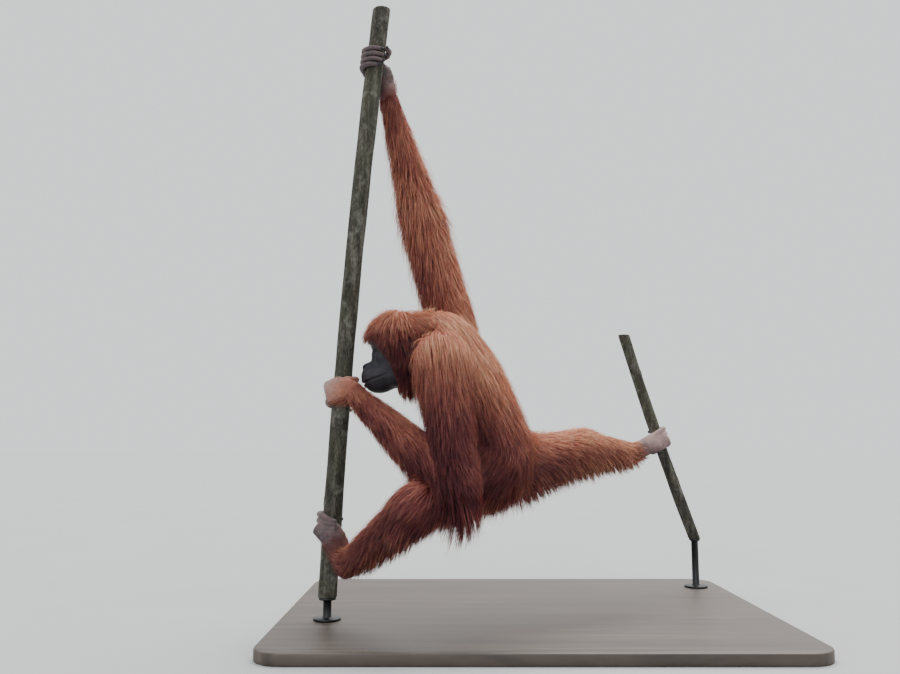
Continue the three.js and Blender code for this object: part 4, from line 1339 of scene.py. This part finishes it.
BOARD_TOP = 24
BOARD_HALF = (545, 425)
CORNER = 60
ROD_GAP = 0.3
for name, stem in (("sapling", sapling), ("vine", vine)):
    x, y, _ = stem.middle(stem.bottom)
    rod = rod_profile(stem.bottom - ROD_GAP - BOARD_TOP, stem.radius - 3)
    turned_piece(f"rod_{name}", rod, (x, y, BOARD_TOP), "stand_metal", [f"stand_rod_{name}"])
around = 160
turn = np.arange(around) / around * FULL_TURN
corner_x = np.sign(np.cos(turn)) * (BOARD_HALF[0] - CORNER)
corner_y = np.sign(np.sin(turn)) * (BOARD_HALF[1] - CORNER)
edge = [(-30, 0), (-3, 0), (-0.9, 0.9), (0, 3), (0, 21), (-0.9, 23.1), (-3, 24), (-30, 24)]
rings = []
for inset, height in edge:
    x = corner_x + (CORNER + inset) * np.cos(turn)
    y = corner_y + (CORNER + inset) * np.sin(turn)
    rings.append(np.column_stack([x, y, np.full(around, height)]))
ends = [[0, 0, 0], [0, 0, BOARD_TOP]]
points = np.vstack([*rings, ends]) * MM
new_piece("board", points, closed_faces(len(edge), around), "stand_board", ["stand_base"])

# %% [markdown]
# ## Finishes
# A finish is a small sum over the surface. One class wraps a socket of a material, so that sums on
# values read as plain Python, and one method adds any other node. What belongs to a place on the
# animal comes with its points as named values, and fine grain comes from noise in the object's own
# coordinates.


# %% Sums of sockets
class Signal:
    """A socket of a material's tree. Sums of signals and numbers add Math nodes."""

    def __init__(self, tree, socket=None):
        self.tree = tree
        self.socket = socket

    def node(self, kind, settings, inputs, outlet=0):
        """Adds any node: its settings first, with a ramp's stops as (place, colour) pairs, then the
        values or links of its sockets, by name or number. Gives the signal of one outlet."""
        made = self.tree.nodes.new(kind)
        for key, value in settings.items():
            if key == "stops":
                for stop, colour in value[2:]:
                    made.color_ramp.elements.new(stop)
                for element, (stop, colour) in zip(made.color_ramp.elements, sorted(value)):
                    element.position = stop
                    element.color = (*colour, 1)
            else:
                setattr(made, key, value)
        for key, value in inputs.items():
            if isinstance(value, Signal):
                self.tree.links.new(value.socket, made.inputs[key])
            else:
                made.inputs[key].default_value = value
        return Signal(self.tree, made.outputs[outlet])

    def sum(self, operation, first, second):
        return self.node("ShaderNodeMath", {"operation": operation}, {0: first, 1: second})

    def __add__(self, other):
        return self.sum("ADD", self, other)

    def __sub__(self, other):
        return self.sum("SUBTRACT", self, other)

    def __rsub__(self, other):
        return self.sum("SUBTRACT", other, self)

    def __mul__(self, other):
        return self.sum("MULTIPLY", self, other)

    __radd__ = __add__
    __rmul__ = __mul__

    def limited(self):
        """The value kept between nought and one."""
        return self.node("ShaderNodeClamp", {}, {0: self})

    def ramp(self, *stops):
        """A colour read off a ramp of (place, colour) stops."""
        return self.node("ShaderNodeValToRGB", {"stops": list(stops)}, {0: self})


def mixed(share, first, second, way="MIX"):
    """Two colours mixed by a share."""
    made = share.node("ShaderNodeMix", {"data_type": "RGBA", "blend_type": way}, {0: share}, 2)
    mix = made.socket.node
    for number, colour in ((6, first), (7, second)):
        if isinstance(colour, Signal):
            made.tree.links.new(colour.socket, mix.inputs[number])
        else:
            mix.inputs[number].default_value = (*colour, 1)
    return made


def finish(name, make, **constants):
    """A material whose make function gives the signals of its changing sockets. Constants are set
    straight on the shader."""
    material = bpy.data.materials.new(name)
    material.use_nodes = True
    tree = material.node_tree
    shader = tree.nodes["Principled BSDF"]
    for key, value in constants.items():
        shader.inputs[key.replace("_", " ")].default_value = value
    for key, signal in make(Signal(tree)).items():
        tree.links.new(signal.socket, shader.inputs[key])
    return material


def value_of(start, name):
    """A named value of the points."""
    return start.node("ShaderNodeAttribute", {"attribute_name": name}, {}, 2)


def noise(start, scale, detail=3.0, stretch=(1, 1, 1)):
    """Noise in the object's own coordinates, from nought to one."""
    where = start.node("ShaderNodeTexCoord", {}, {}, 3)
    where = start.node("ShaderNodeMapping", {}, {"Vector": where, "Scale": stretch})
    return start.node("ShaderNodeTexNoise", {}, {"Vector": where, "Scale": scale, "Detail": detail})


def raised(start, height, distance, strength=1.0):
    """A normal from a height that goes from nought to one, for that distance in metres."""
    return start.node("ShaderNodeBump", {}, {"Height": height, "Distance": distance, "Strength": strength})


# %% Coat and skin
def coat_finish(start):
    along, tone, light = (value_of(start, name) for name in ("along", "tone", "light"))
    patch = noise(start, 26, 2)
    # lighter towards the tips as painted rim glow at the fringes; light brings the painted light and shade of
    # the markings; tone and patch vary the colour
    depth = (along * (tone * 0.1 + 0.24) + light * 0.78 + tone * 0.1 + patch * 0.24 - 0.31).limited()
    colour = depth.ramp(
        (0.0, (0.028, 0.008, 0.014)),
        (0.2, (0.085, 0.021, 0.029)),
        (0.4, (0.215, 0.056, 0.053)),
        (0.6, (0.43, 0.140, 0.098)),
        (0.8, (0.66, 0.255, 0.158)),
        (1.0, (0.88, 0.46, 0.29)),
    )
    streak = noise(start, 900, 2)
    colour = mixed(streak * 0.25, colour, (0.15, 0.034, 0.030))
    return {"Base Color": colour, "Roughness": 0.74 - along * 0.1}


def skin_finish(start):
    bare, face, light = (value_of(start, name) for name in ("bare", "face", "light"))
    grain, patch = noise(start, 420, 4), noise(start, 60, 3)
    # skin under the coat follows the coat's markings and their painted light and shade
    under = light.ramp((0.0, (0.034, 0.008, 0.009)), (0.5, (0.17, 0.045, 0.032)), (1.0, (0.48, 0.17, 0.10)))
    # palms and soles take the same value, so they carry painted shade on the raised hand and painted light
    # where they face up
    palm = (patch * 0.35 + grain * 0.25 + light * 0.6 - 0.12).ramp(
        (0.0, (0.026, 0.020, 0.024)),
        (0.35, (0.055, 0.042, 0.047)),
        (0.6, (0.135, 0.085, 0.083)),
        (1.0, (0.48, 0.33, 0.31)),
    )
    dark = patch.ramp((0.3, (0.007, 0.007, 0.010)), (0.7, (0.021, 0.019, 0.025)))
    colour = mixed(bare, under, mixed(face, palm, dark))
    where = start.node("ShaderNodeTexCoord", {}, {}, 3)
    cells = start.node("ShaderNodeTexVoronoi", {}, {"Vector": where, "Scale": 600.0})
    crease = noise(start, 130, 5, (1, 1, 2.6))
    height = grain * 0.5 + cells * 0.45 + crease * 0.6
    return {"Base Color": colour, "Roughness": 0.68 - grain * 0.2, "Normal": raised(start, height, 0.0011)}


def eye_finish(start):
    ring = value_of(start, "ring")
    grain = noise(start, 900, 2)
    colour = (ring + grain * 0.06).ramp(
        (0.0, (0.004, 0.003, 0.003)),
        (0.20, (0.004, 0.003, 0.003)),
        (0.25, (0.050, 0.022, 0.011)),
        (0.50, (0.032, 0.013, 0.008)),
        (0.56, (0.012, 0.007, 0.006)),
        (1.0, (0.030, 0.018, 0.015)),
    )
    return {"Base Color": colour}


# %% Bark, metal and board
def bark_finish(start):
    cut = value_of(start, "cut")
    streaks = noise(start, 90, 6, (1, 1, 0.16))
    patches = noise(start, 13, 5)
    flecks = noise(start, 210, 5, (1, 1, 0.55))
    lichen = (noise(start, 31, 8) * 8 - 4.5).limited()
    colour = (streaks * 0.6 + flecks * 0.4).ramp(
        (0.34, (0.013, 0.012, 0.010)), (0.5, (0.046, 0.042, 0.033)), (0.64, (0.105, 0.098, 0.080))
    )
    colour = mixed((patches * 4 - 1.7).limited() * 0.55, colour, (0.040, 0.044, 0.024))
    colour = mixed(lichen * 0.45, colour, (0.17, 0.18, 0.15))
    where = start.node("ShaderNodeTexCoord", {}, {}, 3)
    squeezed = start.node("ShaderNodeMapping", {}, {"Vector": where, "Scale": (1, 1, 0.3)})
    furrows = start.node(
        "ShaderNodeTexVoronoi", {"feature": "DISTANCE_TO_EDGE"}, {"Vector": squeezed, "Scale": 130.0}
    )
    rings = start.node(
        "ShaderNodeTexWave",
        {"wave_type": "RINGS", "rings_direction": "Z"},
        {"Vector": where, "Scale": 90.0, "Distortion": 2.0},
    )
    wood = rings.ramp((0.0, (0.42, 0.29, 0.16)), (1.0, (0.58, 0.43, 0.26)))
    height = streaks * 0.5 + flecks * 0.4 + (furrows * 5).limited() * 0.25
    return {"Base Color": mixed(cut, colour, wood), "Normal": raised(start, height, 0.0042)}


def metal_finish(start):
    grain = noise(start, 300, 3)
    colour = grain.ramp((0.3, (0.028, 0.029, 0.030)), (0.7, (0.040, 0.041, 0.043)))
    return {"Base Color": colour, "Roughness": 0.36 + grain * 0.12}


def board_finish(start):
    grain = noise(start, 14, 6, (0.14, 5, 1)) * 0.6 + noise(start, 30, 4, (0.3, 18, 1)) * 0.4
    colour = grain.ramp(
        (0.36, (0.030, 0.021, 0.016)), (0.5, (0.056, 0.040, 0.031)), (0.64, (0.088, 0.066, 0.052))
    )
    return {"Base Color": colour, "Roughness": 0.42 + grain * 0.16}


def floor_finish(start):
    return {"Base Color": noise(start, 3, 2).ramp((0.3, (0.37, 0.38, 0.385)), (0.7, (0.385, 0.395, 0.40)))}


finishes = {
    "coat": finish(
        "hair", coat_finish, Specular_IOR_Level=0.2, Subsurface_Weight=0.25, Subsurface_Scale=0.004
    ),
    "skin": finish("skin", skin_finish, Specular_IOR_Level=0.28),
    "eye": finish("eye", eye_finish, Roughness=0.06, Specular_IOR_Level=0.2),
    "bark": finish("bark", bark_finish, Roughness=0.88, Specular_IOR_Level=0.25),
    "stand_metal": finish("blackened metal", metal_finish, Metallic=1.0),
    "stand_board": finish("stained board", board_finish),
    "floor": finish("floor", floor_finish, Roughness=0.9),
}

# %% [markdown]
# ## Stage, light and camera
# The stage is a plain pale floor. Daylight comes from above and behind, as through a canopy, with a
# soft fill from the viewer's side, so that the thin edges of the coat light up.

# %% Floor
FLOOR_HALF = 30.0
floor_mesh = bpy.data.meshes.new("floor")
corners = [(x * FLOOR_HALF, y * FLOOR_HALF, 0) for x, y in ((-1, -1), (1, -1), (1, 1), (-1, 1))]
floor_mesh.from_pydata(corners, [], [(0, 1, 2, 3)])
floor = bpy.data.objects.new("floor", floor_mesh)
bpy.context.scene.collection.objects.link(floor)
floor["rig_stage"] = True
floor_mesh.materials.append(finishes["floor"])
for piece in bpy.context.scene.objects:
    if piece.type == "MESH" and piece is not floor and "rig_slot" in piece:
        piece.data.materials.clear()
        piece.data.materials.append(finishes[piece["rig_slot"]])

# %% Light and camera
scene = bpy.context.scene


def daylight(name, height, bearing, spread, strength, colour):
    """A far, wide light: its height over the floor and its bearing from the viewer's back, turned to
    the right, in degrees, and how wide it is in the sky."""
    lamp = bpy.data.lights.new(name, "SUN")
    lamp.angle, lamp.energy, lamp.color = math.radians(spread), strength, colour
    holder = bpy.data.objects.new(name, lamp)
    holder.rotation_euler = (math.radians(90 - height), 0, math.radians(bearing))
    scene.collection.objects.link(holder)


daylight("canopy", 64, 150, 50, 4.6, (1.0, 0.97, 0.92))
daylight("fill", 38, -24, 70, 1.5, (0.95, 0.97, 1.0))
world = bpy.data.worlds.new("pale room")
world.use_nodes = True
world.node_tree.nodes["Background"].inputs["Color"].default_value = (0.90, 0.93, 0.94, 1)
world.node_tree.nodes["Background"].inputs["Strength"].default_value = 1.25
scene.world = world
lens = bpy.data.cameras.new("camera")
lens.lens = 34.0
camera = bpy.data.objects.new("camera", lens)
camera.location = (-0.175, -2.0282, 0.4069)
camera.rotation_euler = (math.radians(97), 0, 0)
scene.collection.objects.link(camera)
scene.camera = camera

# %% The two boxes side by side
made_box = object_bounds()
growth = [[round(1000 * (b - a), 1) for a, b in zip(one, two)] for one, two in zip(solid_box, made_box)]
print("the made box against the solids' box, mm:", growth)
